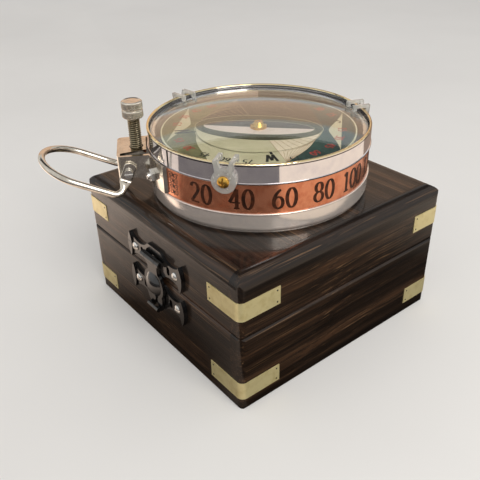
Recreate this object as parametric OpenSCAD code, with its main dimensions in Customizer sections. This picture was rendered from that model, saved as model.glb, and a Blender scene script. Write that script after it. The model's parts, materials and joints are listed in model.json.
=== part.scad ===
// Box compass: a drum compass in a chromed case that stands on its hardwood box.
// Millimetres, +Z up. Origin at the centre of the box's underside, clasp face towards -Y.

/* [Box] */
// Width and depth of the box over its boards
box_w = 127; // [114:1:150]
// Height from the table to the middle of the seam
base_h = 39.5; // [32:0.5:50]
// Height from the middle of the seam to the top of the lid
lid_h = 29.7; // [27:0.1:40]
// Thickness of the side boards
board_t = 7; // [6:0.25:8]
// Thickness of the bottom panel
bottom_t = 5; // [3:0.5:8]
// Thickness of the lid's top panel
top_t = 6; // [4:0.5:8]
// Radius of the lid's rounded top edges
top_edge_r = 6; // [2:0.5:6]
// Radius of the eased edges at the seam and the foot
edge_r = 1.5; // [0.5:0.25:2]
// Radius of the upright corners
corner_r = 3; // [1.5:0.5:4]
// Gap at the seam between base and lid
seam_gap = 0.3; // [0.2:0.1:0.8]
// Gap round the two panels
panel_gap = 0.1; // [0.05:0.05:0.3]

/* [Corner straps] */
// Height of a brass strap
strap_h = 9; // [6:0.5:12]
// Leg of a strap
strap_leg = 18.5; // [12:0.5:24]
// Leg of the straps on the front right corner, which are cut longer
long_strap_leg = 21.5; // [12:0.5:26]
// Thickness of the strap brass
strap_t = 0.9; // [0.6:0.1:1.5]
// How far a strap stands out of the wood
strap_proud = 0.3; // [0.1:0.1:0.5]
// Height of the base straps' middle above the table
base_strap_z = 10.5; // [8:0.5:14]
// Height of the lid straps' middle above the seam
lid_strap_rise = 13.9; // [8:0.1:18]
// Gap round a strap in its recess
strap_gap = 0.1; // [0.05:0.05:0.3]

/* [Clasp] */
// Place of the clasp's middle along the front
clasp_x = 2; // [-6:0.5:6]
// Width of the clasp's two plates
clasp_w = 46; // [43:0.5:50]
// Height of a clasp plate
clasp_h = 14; // [12:0.5:17]
// Thickness of a clasp plate
clasp_t = 1.4; // [1:0.1:2]
// Height of each plate's middle above or below the seam
clasp_rise = 9.2; // [8.8:0.1:11]
// Distance from a plate's end to its screws
clasp_screw_in = 6; // [5.8:0.1:7]
// How far a plate's end bulges out beyond its tips
clasp_bulge = 2; // [1:0.1:2.6]
// Depth of the scallops in a plate's long edges
scallop_depth = 3.6; // [2.5:0.1:4]
// Radius of the round ends of the piercing beside a screw
pierce_r = 1.2; // [0.8:0.1:1.3]
// Distance from a plate's middle line to those round ends
pierce_reach = 1.1; // [0.6:0.1:1.2]
// How far the crescent at a plate's end stands out of the plate
crescent_h = 0.8; // [0.4:0.1:1.2]
// Radius of the hasp's hinge pin
hasp_pin_r = 0.9; // [0.6:0.1:1.2]
// Wall round the hasp's hinge pin
hasp_knuckle_wall = 0.9; // [0.6:0.1:1.2]
// Length of the hasp's middle knuckle
hasp_knuckle_l = 8; // [6:0.5:10]
// Length of each outer knuckle
hasp_ear_l = 3.5; // [2:0.5:5]
// Thickness of the hasp's tongue
tongue_t = 1.6; // [1.2:0.1:2.2]
// Radius of the tongue's round middle
tongue_r = 8; // [7:0.5:9]
// How far the tongue's boss stands out
boss_h = 2.8; // [1.5:0.1:3.5]
// Radius of the catch post
post_r = 1.8; // [1.2:0.1:2.2]
// Length of the catch post in front of its plate
post_l = 2.6; // [2:0.1:3]
// Gap between the post and the tongue's fork
fork_gap = 0.5; // [0.3:0.1:0.8]

/* [Lid hinges] */
// Distance between the middles of the two hinges
hinge_gap = 74; // [50:1:84]
// Length of a hinge
hinge_l = 22; // [15:1:30]
// Thickness of a hinge leaf
leaf_t = 0.9; // [0.6:0.1:1.2]
// Depth of a hinge leaf in the board's edge
leaf_d = 5.5; // [4:0.25:5.5]
// Radius of a hinge knuckle
hinge_knuckle_r = 1.9; // [1.5:0.1:2.5]
// Radius of a hinge pin
hinge_pin_r = 0.9; // [0.6:0.1:1.1]

/* [Compass case] */
// Outer radius of the case
case_r = 53.3; // [50:0.1:56]
// Height of the lower chrome band
pan_h = 9.5; // [8:0.1:12]
// Height of the copper band
copper_h = 13.5; // [11:0.1:16]
// Height of the upper chrome band
bezel_h = 9.5; // [9:0.1:12]
// Thickness of the pan's wall
pan_wall = 1.6; // [1.2:0.1:2]
// Thickness of the pan's floor
pan_floor = 2; // [1.5:0.1:3]
// Radius of the pan's rounded foot
pan_foot_r = 2.5; // [1:0.1:4]
// Thickness of the copper band
copper_t = 1; // [0.8:0.1:1.4]
// How far the copper band lies below the chrome
copper_inset = 0.3; // [0.1:0.1:0.5]
// Radius of the beads beside the copper band
bead_r = 0.4; // [0.2:0.1:0.5]
// Gap at each edge of the copper band
band_gap = 0.1; // [0.05:0.05:0.3]
// Depth of the glass's edge below the top of the case
glass_drop = 2.2; // [1.5:0.1:3]
// Thickness of the glass
glass_edge = 2.9; // [2:0.1:3.5]
// Rise of the domed glass
glass_rise = 6; // [3:0.5:9]
// Width of the shelf that the glass lies on
shelf_w = 3; // [2:0.1:4]
// Thickness of the shelf that the glass lies on
shelf_t = 1.4; // [1:0.1:1.6]
// Gap round the glass
glass_gap = 0.1; // [0.05:0.05:0.3]

/* [Compass card] */
// Radius of the card
card_r = 46.5; // [40:0.5:47]
// Thickness of the card
card_t = 0.6; // [0.4:0.1:1]
// Depth of the card's face below the foot of the glass
card_drop = 1.3; // [1:0.1:6]
// Length of a magnet
magnet_l = 44; // [30:1:56]
// Width of a magnet
magnet_w = 3; // [2:0.5:5]
// Thickness of a magnet
magnet_t = 2; // [1:0.5:3]
// Distance from the pivot to a magnet's middle
magnet_y = 9; // [7:0.5:16]
// Radius of the card's brass cap
cap_r = 4; // [3:0.5:6]
// Height of the cap above the card
cap_h = 3; // [2:0.5:3.5]
// Radius of the pivot post
pivot_r = 1.6; // [1:0.1:2]

/* [Glass clips] */
// Direction of the first clip, measured on the plan from +X
clip_first = -55; // [-70:1:-40]
// Angle from one clip to the next
clip_step = 122; // [118:1:124]
// Radius of a clip's disc
clip_disc_r = 5.4; // [4.5:0.1:6.5]
// Thickness of a clip
clip_t = 2; // [1.5:0.1:2.5]
// Distance from the top of the case to a clip screw
clip_screw_drop = 7.4; // [7:0.1:8]
// Radius of a clip screw's head
clip_head_r = 2.6; // [2:0.1:3.2]
// How far a clip reaches in over the glass
clip_reach = 6; // [5:0.5:8]

/* [Bracket] */
// Direction of the bracket, measured on the plan from +X
bracket_az = -120; // [-150:1:-100]
// Distance from the case to the bracket's outer face
bracket_reach = 14.5; // [13:0.5:18]
// Width of the bracket's channel over its cheeks
channel_w = 24; // [22:0.5:28]
// Height of the bracket
bracket_h = 13; // [12:0.1:13.2]
// Height of the bracket's lower edge above the pan's underside
bracket_lift = 9.9; // [9.7:0.1:11]
// Thickness of the bracket's sheet
sheet_t = 1.5; // [1:0.1:2]
// Width of a flange beyond its cheek
flange_w = 14.4; // [10:0.1:16]
// Width of the slot left open beside the flap that covers the channel
flap_open = 5.5; // [4:0.1:6]
// How much narrower that slot is at its outer end
flap_taper = 3; // [0:0.1:3.5]
// Gap round the thumbscrew in the flap's hole
flap_hole_gap = 0.4; // [0.2:0.1:0.8]
// Gap between the flap and the case
flap_gap = 0.9; // [0.6:0.1:1.2]
// Height of the arch in a cheek's lower edge
arch_h = 2.2; // [1:0.1:3]
// Radius of a flange bolt
bolt_r = 1.5; // [1:0.1:2]

/* [Wire loop] */
// Radius of the loop's wire
wire_r = 1.6; // [1.2:0.1:2]
// Distance between the middles of the loop's two arms
loop_w = 36; // [32:0.5:44]
// Length of the loop from its bend to the far end
loop_l = 38.5; // [30:0.1:50]
// Distance from the pivot to the plane of the arms
loop_drop = 10.5; // [8:0.5:13]
// Angle of the loop above level as it stands
loop_angle = 24; // [0:1:60]
// Width of the loop's flattened tabs
tab_w = 5.8; // [4.5:0.1:7]
// Thickness of the loop's flattened tabs
tab_t = 1.4; // [1:0.1:2]
// Length of a tab above its screw
tab_top = 4.7; // [3:0.1:5]
// Length of a tab below its screw
tab_foot = 3; // [2.5:0.1:4]
// Radius of the bend between an arm and its leg
elbow_r = 4; // [2.5:0.1:4.5]
// Distance from the bracket's outer face to the loop's pivot
pivot_in = 4.6; // [4:0.1:6]
// Height of the loop's pivot above the bracket's lower edge
pivot_up = 5.5; // [4:0.1:8]
// Radius of the screws that the loop turns on
loop_screw_r = 1.25; // [0.8:0.05:1.6]
// Side gap between the tabs and what they turn against
tab_gap = 0.25; // [0.1:0.05:0.5]

/* [Thumbscrew] */
// Distance from the case to the thumbscrew's axis
screw_out = 5.4; // [5:0.1:6]
// Radius of the thumbscrew's thread
thread_r = 2.9; // [2.4:0.05:3.1]
// Radius of the thumbscrew's head
head_r = 4.9; // [4:0.1:5.2]
// Height of the thumbscrew's head
head_h = 8; // [5:0.5:11]
// Length of bare thread between the bridge and the head
thread_shown = 16; // [14:0.2:20]
// Height of the threaded bridge
bridge_h = 3.8; // [3:0.1:5]
// Gap between the bridge and the flap over it
bridge_drop = 0.1; // [0.05:0.05:0.5]
// Radius of the clamp foot
foot_r = 4; // [3:0.1:4.5]
// Height of the clamp foot
foot_h = 3; // [2.5:0.1:4]
// Gap between the bridge and the clamp foot
foot_gap = 1.3; // [1.3:0.1:2]
// Radius of the screw's tip in the foot
tip_r = 1.5; // [1:0.1:1.8]
// Running gap round turning shafts
run_gap = 0.05; // [0.02:0.01:0.08]

/* [Hidden] */
$fn = 64;
eps = 0.01;
box_h = base_h + lid_h;
half = box_w / 2;
inner = box_w - 2 * board_t;
panel_w = inner - 2 * panel_gap;
base_top = base_h - seam_gap / 2;
lid_foot = base_h + seam_gap / 2;
legs = [strap_leg, strap_leg, strap_leg, long_strap_leg];
lid_strap_z = base_h + lid_strap_rise;

// Clasp
knuckle_r = hasp_pin_r + hasp_knuckle_wall;
hasp_front = half + clasp_t;
hasp_z = base_h + clasp_rise + 1.5;
hasp_y = half + clasp_t + knuckle_r - 0.2;
tongue_gap = 0.3;
tongue_back = half + clasp_t + tongue_gap;
post_z = base_h - clasp_rise - 0.6;
tongue_end = post_z - 7;
disc_z = base_h - 3;
clasp_hole_r = 1.1;
clasp_head_r = 2.2;
clasp_head_h = 1.3;
clasp_screw_l = 4.5;
clasp_screw_x = clasp_w / 2 - clasp_screw_in;
clasp_tip_x = clasp_w / 2 - clasp_bulge;
clasp_shoulder = 5.5;
crescent_w = clasp_screw_in - clasp_head_r - 0.4;
knuckle_gap = 0.2;

// Lid hinges
hinge_y = half + hinge_knuckle_r + 0.2;
hinge_screw_r = 0.9;
hinge_head_r = 1.7;
sink_gap = 0.05;
hinge_screw_l = 7;
leaf_screw_y = half - leaf_d / 2 - 0.4;

// Compass case, with heights worked up from the top of the lid
pan_z = box_h;
copper_z = pan_z + pan_h;
bezel_z = copper_z + copper_h;
case_top = bezel_z + bezel_h;
copper_r = case_r - copper_inset;
spigot_r = copper_r - copper_t;
pan_inner_r = spigot_r - pan_wall;
glass_top = case_top - glass_drop;
glass_z = glass_top - glass_edge;
glass_r = spigot_r - glass_gap;
shelf_top = glass_z - glass_gap;
shelf_z = shelf_top - shelf_t;
dome_r = (glass_r * glass_r + glass_rise * glass_rise) / (2 * glass_rise);
spigot_top = shelf_z - band_gap;
floor_top = pan_z + pan_floor;
card_z = glass_z - card_drop - card_t;
pivot_tip = card_z + card_t + 1.2;
pivot_foot_r = 5;
pivot_foot_h = 1.2;
pivot_point_h = 5;
clip_z = case_top - clip_screw_drop;
clip_gap = 0.2;
clip_r = case_r + bead_r + clip_gap;
clip_shank_r = 1.2;
clip_angles = [for (i = [0:2]) clip_first + i * clip_step];
prong_w = 1.7;
prong_spread = 3.6;
prong_t = 1.4;
prong_pad = 1.6;
// Height of the domed glass over its edge, at a distance from the axis
function dome_height(x) = sqrt(dome_r * dome_r - x * x) - dome_r + glass_rise;
prong_foot = glass_top + dome_height(case_r - clip_reach) + 0.1;

// Bracket, with its own x pointing away from the case
bracket_z = pan_z + bracket_lift;
bracket_top = bracket_z + bracket_h;
web_out = case_r + bracket_reach;
channel_in = channel_w / 2 - sheet_t;
bend_r = 2.4;
flange_edge = channel_w / 2 + flange_w;
arch_r = (pow(bracket_reach / 2 - 1, 2) + arch_h * arch_h) / (2 * arch_h);
bolt_swing = asin((channel_w / 2 + flange_w * 0.34) / case_r);
bolt_z = bracket_z + bracket_h * 0.42;
bolt_head_r = 2.6;
bolt_head_h = 1.8;
bolt_end = 1.2;
nut_flats = 5.5;
nut_h = 2.2;
bolt_angles = [bracket_az - bolt_swing, bracket_az + bolt_swing];
pivot_x = web_out - pivot_in;
pivot_z = bracket_z + pivot_up;
tab_in = channel_w / 2 + tab_gap;
shoulder_h = 2.2;
loop_head_r = 2;
loop_head_h = 1.3;

// Thumbscrew
screw_x = case_r + screw_out;
bridge_top = bracket_top - sheet_t - bridge_drop;
bridge_z = bridge_top - bridge_h;
foot_top = bridge_z - foot_gap;
head_z = bridge_top + thread_shown;
bridge_wall = 1;
bridge_back = 2.1;
flute_r = 0.35;
flute_count = 30;

// What is left outside a round corner at the origin, towards +X and +Y
module corner_waste(r) {
    difference() {
        translate([-r, -r]) square(r + 1);
        translate([-r, -r]) circle(r);
    }
}

// Upright outline of the box between two heights, with its own foot and top radius
module side_outline(z0, z1, r0, r1) {
    difference() {
        translate([-half, z0]) square([box_w, z1 - z0]);
        for (s = [0, 1]) mirror([s, 0]) {
            translate([half, z1]) corner_waste(r1);
            translate([half, z0]) mirror([0, 1]) corner_waste(r0);
        }
    }
}

// Square plan of a given width with round corners
module plan_outline(w, r) {
    difference() {
        square(w, center = true);
        for (a = [0:90:270]) rotate(a) translate([w / 2, w / 2]) corner_waste(r);
    }
}

// The whole of the box between two heights, rounded on all its outer edges
module wood_envelope(z0, z1, r0, r1) {
    intersection() {
        rotate([90, 0, 0]) linear_extrude(box_w + 2, center = true) side_outline(z0, z1, r0, r1);
        rotate([90, 0, 90]) linear_extrude(box_w + 2, center = true) side_outline(z0, z1, r0, r1);
        translate([0, 0, z0 - 1]) linear_extrude(z1 - z0 + 2) plan_outline(box_w, corner_r);
    }
}

// An L-shaped strap or its recess: the ring between two plans, kept at one corner
module corner_strap(z, h, leg, depth, proud) {
    translate([0, 0, z - h / 2]) linear_extrude(h) intersection() {
        difference() {
            plan_outline(box_w + 2 * proud, corner_r + proud);
            plan_outline(box_w - 2 * depth, max(corner_r - depth, 0.4));
        }
        translate([half - leg, half - leg]) square(leg + 2);
    }
}

module strap_set(z) {
    for (i = [0:3]) rotate(i * 90) corner_strap(z, strap_h, legs[i], strap_t - strap_proud, strap_proud);
}

module strap_recesses(z) {
    for (i = [0:3]) rotate(i * 90)
        corner_strap(z, strap_h + 2 * strap_gap, legs[i] + strap_gap, strap_t - strap_proud + strap_gap, 1);
}

// Front and back boards stand between the left and right boards, which run the full depth
module end_block(side, z0, z1) {
    y = side < 0 ? -half - 1 : half - board_t;
    translate([-inner / 2, y, z0 - 1]) cube([inner, board_t + 1, z1 - z0 + 2]);
}

module flank_block(side, z0, z1) {
    x = side < 0 ? -half - 1 : half - board_t;
    translate([x, -half - 1, z0 - 1]) cube([board_t + 1, box_w + 2, z1 - z0 + 2]);
}

module base_wood() {
    difference() {
        wood_envelope(0, base_top, edge_r / 2, edge_r);
        strap_recesses(base_strap_z);
        clasp_pilots(-1);
        hinge_recess(-1);
    }
}

module lid_wood() {
    difference() {
        wood_envelope(lid_foot, box_h, edge_r, top_edge_r);
        strap_recesses(lid_strap_z);
        clasp_pilots(1);
        hinge_recess(1);
    }
}

module base_front_board() { color("#4a3426") intersection() { base_wood(); end_block(-1, 0, base_h); } }
module base_back_board() { color("#453023") intersection() { base_wood(); end_block(1, 0, base_h); } }
module base_left_board() { color("#402c20") intersection() { base_wood(); flank_block(-1, 0, base_h); } }
module base_right_board() { color("#4d3627") intersection() { base_wood(); flank_block(1, 0, base_h); } }
module lid_front_board() { color("#4a3426") intersection() { lid_wood(); end_block(-1, base_h, box_h); } }
module lid_back_board() { color("#453023") intersection() { lid_wood(); end_block(1, base_h, box_h); } }
module lid_left_board() { color("#402c20") intersection() { lid_wood(); flank_block(-1, base_h, box_h); } }
module lid_right_board() { color("#4d3627") intersection() { lid_wood(); flank_block(1, base_h, box_h); } }

module base_bottom_panel() {
    color("#3a281d") translate([-panel_w / 2, -panel_w / 2, 0]) cube([panel_w, panel_w, bottom_t]);
}

module lid_top_panel() {
    color("#46311f") translate([-panel_w / 2, -panel_w / 2, box_h - top_t]) cube([panel_w, panel_w, top_t]);
}

module base_corner_straps() { color("#cdbb8a") strap_set(base_strap_z); }
module lid_corner_straps() { color("#cdbb8a") strap_set(lid_strap_z); }

// Stands a flat outline on the front face: outline x along X, outline y along Z
module on_front(z, back, t) {
    translate([clasp_x, -back, z]) rotate([90, 0, 0]) linear_extrude(t) children();
}

// Middle of a clasp plate: scalloped above and below, and pierced between shoulder and screw
module clasp_waist() {
    chord = (clasp_tip_x + 0.5 - clasp_shoulder) / 2;
    scallop_r = (pow(chord, 2) + pow(scallop_depth, 2)) / (2 * scallop_depth);
    pierce_x = (clasp_shoulder + clasp_screw_x) / 2;
    difference() {
        square([2 * clasp_tip_x, clasp_h], center = true);
        for (sx = [-1, 1]) {
            for (sy = [-1, 1]) {
                translate([sx * (clasp_shoulder + chord), sy * (clasp_h / 2 - scallop_depth + scallop_r)])
                    circle(scallop_r);
                translate([sx * pierce_x, sy * pierce_reach]) circle(pierce_r);
            }
            translate([sx * pierce_x, 0]) square([2 * pierce_r, 2 * pierce_reach], center = true);
            translate([sx * clasp_screw_x, 0]) circle(clasp_hole_r);
        }
    }
}

// Crescent at a plate's right end, where two arcs meet in pointed tips
module clasp_crescent() {
    bulge_in = crescent_w - clasp_bulge;
    r_out = (pow(clasp_h / 2, 2) + pow(clasp_bulge, 2)) / (2 * clasp_bulge);
    r_in = (pow(clasp_h / 2, 2) + pow(bulge_in, 2)) / (2 * bulge_in);
    intersection() {
        translate([clasp_w / 2 - r_out, 0]) circle(r_out);
        translate([clasp_w / 2 - crescent_w + r_in, 0]) circle(r_in);
    }
}

module clasp_plate(z) {
    on_front(z, half, clasp_t) clasp_waist();
    for (s = [0, 1]) on_front(z, half, clasp_t + crescent_h) mirror([s, 0]) clasp_crescent();
}

module screw_on_front(x, z, head_back) {
    translate([x, -head_back, z]) rotate([90, 0, 0]) {
        difference() {
            intersection() {
                translate([0, 0, clasp_head_h - 3.2]) sphere(3.2);
                cylinder(r = clasp_head_r, h = clasp_head_h + 1);
            }
            translate([-clasp_head_r, -0.3, clasp_head_h - 0.5]) cube([2 * clasp_head_r, 0.6, 1]);
        }
        translate([0, 0, -clasp_screw_l]) cylinder(r = clasp_hole_r, h = clasp_screw_l + 0.2);
    }
}

module screws_on_plate(side) {
    for (s = [-1, 1])
        screw_on_front(clasp_x + s * clasp_screw_x, base_h + side * clasp_rise, half + clasp_t);
}

module clasp_pilots(side) {
    for (s = [-1, 1]) translate([clasp_x + s * clasp_screw_x, -half - 1, base_h + side * clasp_rise])
        rotate([-90, 0, 0]) cylinder(r = clasp_hole_r, h = clasp_screw_l - clasp_t + 1.1);
}

// A knuckle of the hasp's hinge, centred on x
module hasp_knuckle(x, l) {
    translate([clasp_x + x - l / 2, -hasp_y, hasp_z]) rotate([0, 90, 0]) difference() {
        cylinder(r = knuckle_r, h = l);
        translate([0, 0, -1]) cylinder(r = hasp_pin_r + run_gap, h = l + 2);
    }
}

module catch_plate() {
    color("#17181a") {
        clasp_plate(base_h - clasp_rise);
        on_front(post_z, half + clasp_t, post_l) circle(post_r);
    }
}

module hasp_plate() {
    ear_x = hasp_knuckle_l / 2 + knuckle_gap + hasp_ear_l / 2;
    color("#17181a") difference() {
        union() {
            clasp_plate(base_h + clasp_rise);
            for (s = [-1, 1]) hasp_knuckle(s * ear_x, hasp_ear_l);
        }
        translate([clasp_x - clasp_w / 2, -hasp_y, hasp_z]) rotate([0, 90, 0])
            cylinder(r = hasp_pin_r + run_gap, h = clasp_w);
        translate([clasp_x - hasp_knuckle_l / 2 - knuckle_gap, -hasp_y, hasp_z]) rotate([0, 90, 0])
            cylinder(r = knuckle_r + 0.3, h = hasp_knuckle_l + 2 * knuckle_gap);
    }
}

module catch_screws() { color("#c9cbd0") screws_on_plate(-1); }
module hasp_screws() { color("#c9cbd0") screws_on_plate(1); }

module hasp_pin() {
    pin_l = hasp_knuckle_l + 2 * knuckle_gap + 2 * hasp_ear_l;
    color("#202124") translate([clasp_x - pin_l / 2, -hasp_y, hasp_z]) rotate([0, 90, 0])
        cylinder(r = hasp_pin_r, h = pin_l);
}

// The tongue hangs from its knuckle over the seam and straddles the catch post with its fork
module hasp_tongue() {
    fork_w = 2 * (post_r + fork_gap);
    color("#131416") difference() {
        union() {
            hasp_knuckle(0, hasp_knuckle_l);
            on_front(0, tongue_back, tongue_t) {
                translate([-hasp_knuckle_l / 2, disc_z]) square([hasp_knuckle_l, hasp_z - disc_z - 0.4]);
                translate([0, disc_z]) circle(tongue_r);
                translate([0, post_z]) circle(tongue_r * 0.8);
                translate([-tongue_r * 0.55, tongue_end]) square([tongue_r * 1.1, post_z - tongue_end]);
            }
            translate([clasp_x, -tongue_back - tongue_t, disc_z]) rotate([90, 0, 0]) boss();
            translate([clasp_x - tongue_r * 0.55, -tongue_back - tongue_t - 1.1, tongue_end + 1.2])
                rotate([0, 90, 0]) cylinder(r = 1.2, h = tongue_r * 1.1);
        }
        translate([clasp_x - fork_w / 2, -half - clasp_t - post_l - fork_gap, tongue_end - 3])
            cube([fork_w, post_l + fork_gap + 1, post_z - tongue_end + 3 + fork_gap]);
        on_front(post_z + fork_gap, half, clasp_t + post_l + fork_gap) circle(fork_w / 2);
        translate([clasp_x - clasp_w / 2, -hasp_y, hasp_z]) rotate([0, 90, 0])
            cylinder(r = hasp_pin_r + run_gap, h = clasp_w);
    }
}

// A low dome that stands out of the tongue
module boss() {
    foot = tongue_r * 0.78;
    ball = (foot * foot + boss_h * boss_h) / (2 * boss_h);
    intersection() {
        translate([0, 0, boss_h - ball]) sphere(ball);
        translate([0, 0, -0.2]) cylinder(r = foot, h = boss_h + 1);
    }
}

// One leaf of a lid hinge: side -1 lies on the base, side 1 under the lid
module hinge_leaf(x, side) {
    low = side < 0 ? base_top - leaf_t : lid_foot;
    third = (hinge_l - 2 * knuckle_gap) / 3;
    difference() {
        union() {
            translate([x - hinge_l / 2, half - leaf_d, low]) cube([hinge_l, hinge_y - half + leaf_d, leaf_t]);
            if (side < 0)
                for (s = [-1, 1]) leaf_knuckle(x + s * (third + knuckle_gap), third);
            else
                leaf_knuckle(x, third);
        }
        translate([x - hinge_l, hinge_y, base_h]) rotate([0, 90, 0])
            cylinder(r = hinge_pin_r + run_gap, h = 2 * hinge_l);
        if (side < 0)
            knuckle_room(x, third + 2 * knuckle_gap);
        else
            for (s = [-1, 1]) knuckle_room(x + s * (third + knuckle_gap), third + 2 * knuckle_gap);
        for (s = [-1, 1]) translate([x + s * hinge_l * 0.3, leaf_screw_y, low - 1]) {
            cylinder(r = hinge_screw_r, h = leaf_t + 2);
            translate([0, 0, side < 0 ? 1 : 1 - eps]) leaf_sink(side);
        }
    }
}

// Countersink through a leaf, wide at the seam
module leaf_sink(side) {
    narrow = hinge_screw_r + sink_gap;
    wide = hinge_head_r + sink_gap;
    if (side < 0) cylinder(r1 = narrow, r2 = wide, h = leaf_t + eps);
    else cylinder(r1 = wide, r2 = narrow, h = leaf_t + eps);
}

module leaf_knuckle(x, l) {
    translate([x - l / 2, hinge_y, base_h]) rotate([0, 90, 0]) cylinder(r = hinge_knuckle_r, h = l);
}

// Room in one leaf for the knuckle of the other
module knuckle_room(x, l) {
    translate([x - l / 2, half + 0.1, base_h - hinge_knuckle_r - 0.3])
        cube([l, 2 * hinge_knuckle_r + 1, 2 * hinge_knuckle_r + 0.6]);
}

module hinge_recess(side) {
    low = side < 0 ? base_top - leaf_t : lid_foot - 1;
    for (s = [-1, 1]) {
        translate([s * hinge_gap / 2 - hinge_l / 2 - 0.1, half - leaf_d - 0.1, low])
            cube([hinge_l + 0.2, leaf_d + 2, leaf_t + 1]);
        for (t = [-1, 1]) translate([s * hinge_gap / 2 + t * hinge_l * 0.3, leaf_screw_y, base_h])
            translate([0, 0, side < 0 ? -hinge_screw_l - 0.3 : 0]) cylinder(r = hinge_screw_r, h = hinge_screw_l + 0.3);
    }
}

module leaf_screws(side) {
    for (s = [-1, 1], t = [-1, 1])
        translate([s * hinge_gap / 2 + t * hinge_l * 0.3, leaf_screw_y, side < 0 ? base_top : lid_foot])
            mirror([0, 0, side < 0 ? 0 : 1]) {
                translate([0, 0, -leaf_t]) cylinder(r1 = hinge_screw_r, r2 = hinge_head_r, h = leaf_t);
                translate([0, 0, -hinge_screw_l]) cylinder(r = hinge_screw_r, h = hinge_screw_l - leaf_t / 2);
            }
}

module hinge_base_leaves() { color("#b79a55") for (s = [-1, 1]) hinge_leaf(s * hinge_gap / 2, -1); }
module hinge_lid_leaves() { color("#b79a55") for (s = [-1, 1]) hinge_leaf(s * hinge_gap / 2, 1); }
module hinge_base_screws() { color("#c8ab62") leaf_screws(-1); }
module hinge_lid_screws() { color("#c8ab62") leaf_screws(1); }

module hinge_pins() {
    color("#c8ab62") for (s = [-1, 1]) translate([s * hinge_gap / 2 - hinge_l / 2, hinge_y, base_h])
        rotate([0, 90, 0]) cylinder(r = hinge_pin_r, h = hinge_l);
}

// Holes through the case wall for the clip screws and the bracket bolts
module case_holes() {
    for (a = clip_angles) rotate(a) translate([case_r - 8, 0, clip_z]) rotate([0, 90, 0])
        cylinder(r = clip_shank_r, h = 12);
    for (a = bolt_angles) rotate(a) translate([case_r - 8, 0, bolt_z]) rotate([0, 90, 0])
        cylinder(r = bolt_r, h = 12);
}

// Pan: floor, rounded foot, lower chrome band with its bead, and the spigot inside the two bands
module case_pan() {
    color("#d9dadd") difference() {
        rotate_extrude($fn = 128) difference() {
            union() {
                translate([0, pan_z]) square([case_r - pan_foot_r, pan_h]);
                translate([0, pan_z + pan_foot_r]) square([case_r, pan_h - pan_foot_r]);
                translate([case_r - pan_foot_r, pan_z + pan_foot_r]) circle(pan_foot_r);
                translate([0, pan_z]) square([spigot_r, spigot_top - pan_z]);
                translate([case_r, copper_z - bead_r]) circle(bead_r);
            }
            translate([-1, floor_top]) square([pan_inner_r + 1, box_h + 60]);
        }
        case_holes();
    }
}

module copper_band() {
    color("#b4643c") difference() {
        rotate_extrude($fn = 128) translate([spigot_r, copper_z + band_gap])
            square([copper_t, copper_h - 2 * band_gap]);
        case_holes();
    }
}

// Upper chrome band: it slips over the spigot, and the glass lies on its shelf
module bezel_ring() {
    lip = 0.6;
    color("#dfe0e3") difference() {
        rotate_extrude($fn = 128) difference() {
            union() {
                translate([spigot_r, bezel_z]) square([case_r - spigot_r, bezel_h - lip]);
                translate([spigot_r + lip, bezel_z]) square([case_r - spigot_r - 2 * lip, bezel_h]);
                for (x = [spigot_r + lip, case_r - lip]) translate([x, case_top - lip]) circle(lip);
                translate([spigot_r - shelf_w, shelf_z]) square([shelf_w + 0.5, shelf_t]);
                translate([case_r, bezel_z + bead_r]) circle(bead_r);
            }
        }
        case_holes();
    }
}

// Thick domed glass: an even shell between two spheres about one centre, with a flat seat
module dome_glass() {
    color("#cfe3dc", 0.4) rotate_extrude($fn = 128) difference() {
        intersection() {
            translate([0, glass_top + glass_rise - dome_r]) circle(dome_r, $fn = 256);
            translate([0, glass_z]) square([glass_r, glass_edge + glass_rise + 1]);
        }
        translate([0, glass_top + glass_rise - dome_r]) circle(dome_r - glass_edge, $fn = 256);
    }
}

module pivot_post() {
    post_h = pivot_tip - floor_top;
    color("#c8ab62") translate([0, 0, floor_top]) rotate_extrude() polygon([
        [0, 0], [pivot_foot_r, 0], [pivot_foot_r, pivot_foot_h], [pivot_r * 1.5, pivot_foot_h + 1],
        [pivot_r, pivot_foot_h + 3], [pivot_r, post_h - pivot_point_h], [0.15, post_h], [0, post_h]]);
}

// A clear clip: a disc against the case, and two prongs that fork over the rim onto the glass
module glass_clip() {
    rise = case_top + clip_gap - clip_z;
    difference() {
        union() {
            translate([clip_r, 0, clip_z]) rotate([0, 90, 0]) cylinder(r = clip_disc_r, h = clip_t);
            for (s = [-1, 1]) {
                translate([clip_r, 0, 0]) rotate([90, 0, 90]) linear_extrude(clip_t) polygon([
                    [s * 0.6, clip_z + clip_disc_r * 0.5], [s * 3.6, clip_z + clip_disc_r * 0.5],
                    [s * (prong_spread + prong_w / 2), clip_z + rise + prong_t],
                    [s * (prong_spread - prong_w / 2), clip_z + rise + prong_t]]);
                translate([case_r - clip_reach, s * prong_spread - prong_w / 2, clip_z + rise])
                    cube([clip_reach + clip_r - case_r + clip_t, prong_w, prong_t]);
                translate([case_r - clip_reach, s * prong_spread - prong_w / 2, prong_foot])
                    cube([prong_pad, prong_w, clip_z + rise + prong_t - prong_foot]);
            }
        }
        translate([clip_r - 1, 0, clip_z]) rotate([0, 90, 0]) cylinder(r = clip_shank_r, h = clip_t + 2);
    }
}

module glass_clips() { color("#e4ebe8", 0.6) for (a = clip_angles) rotate(a) glass_clip(); }

module clip_screws() {
    color("#c79a3e") for (a = clip_angles) rotate(a) translate([clip_r + clip_t, 0, clip_z]) rotate([0, 90, 0]) {
        difference() {
            intersection() {
                translate([0, 0, 1.6 - 4]) sphere(4);
                cylinder(r = clip_head_r, h = 2);
            }
            translate([-clip_head_r, -0.35, 1]) cube([2 * clip_head_r, 0.7, 1]);
        }
        translate([0, 0, pan_inner_r - 0.6 - clip_r - clip_t])
            cylinder(r = clip_shank_r, h = clip_r + clip_t - pan_inner_r + 0.8);
    }
}

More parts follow.
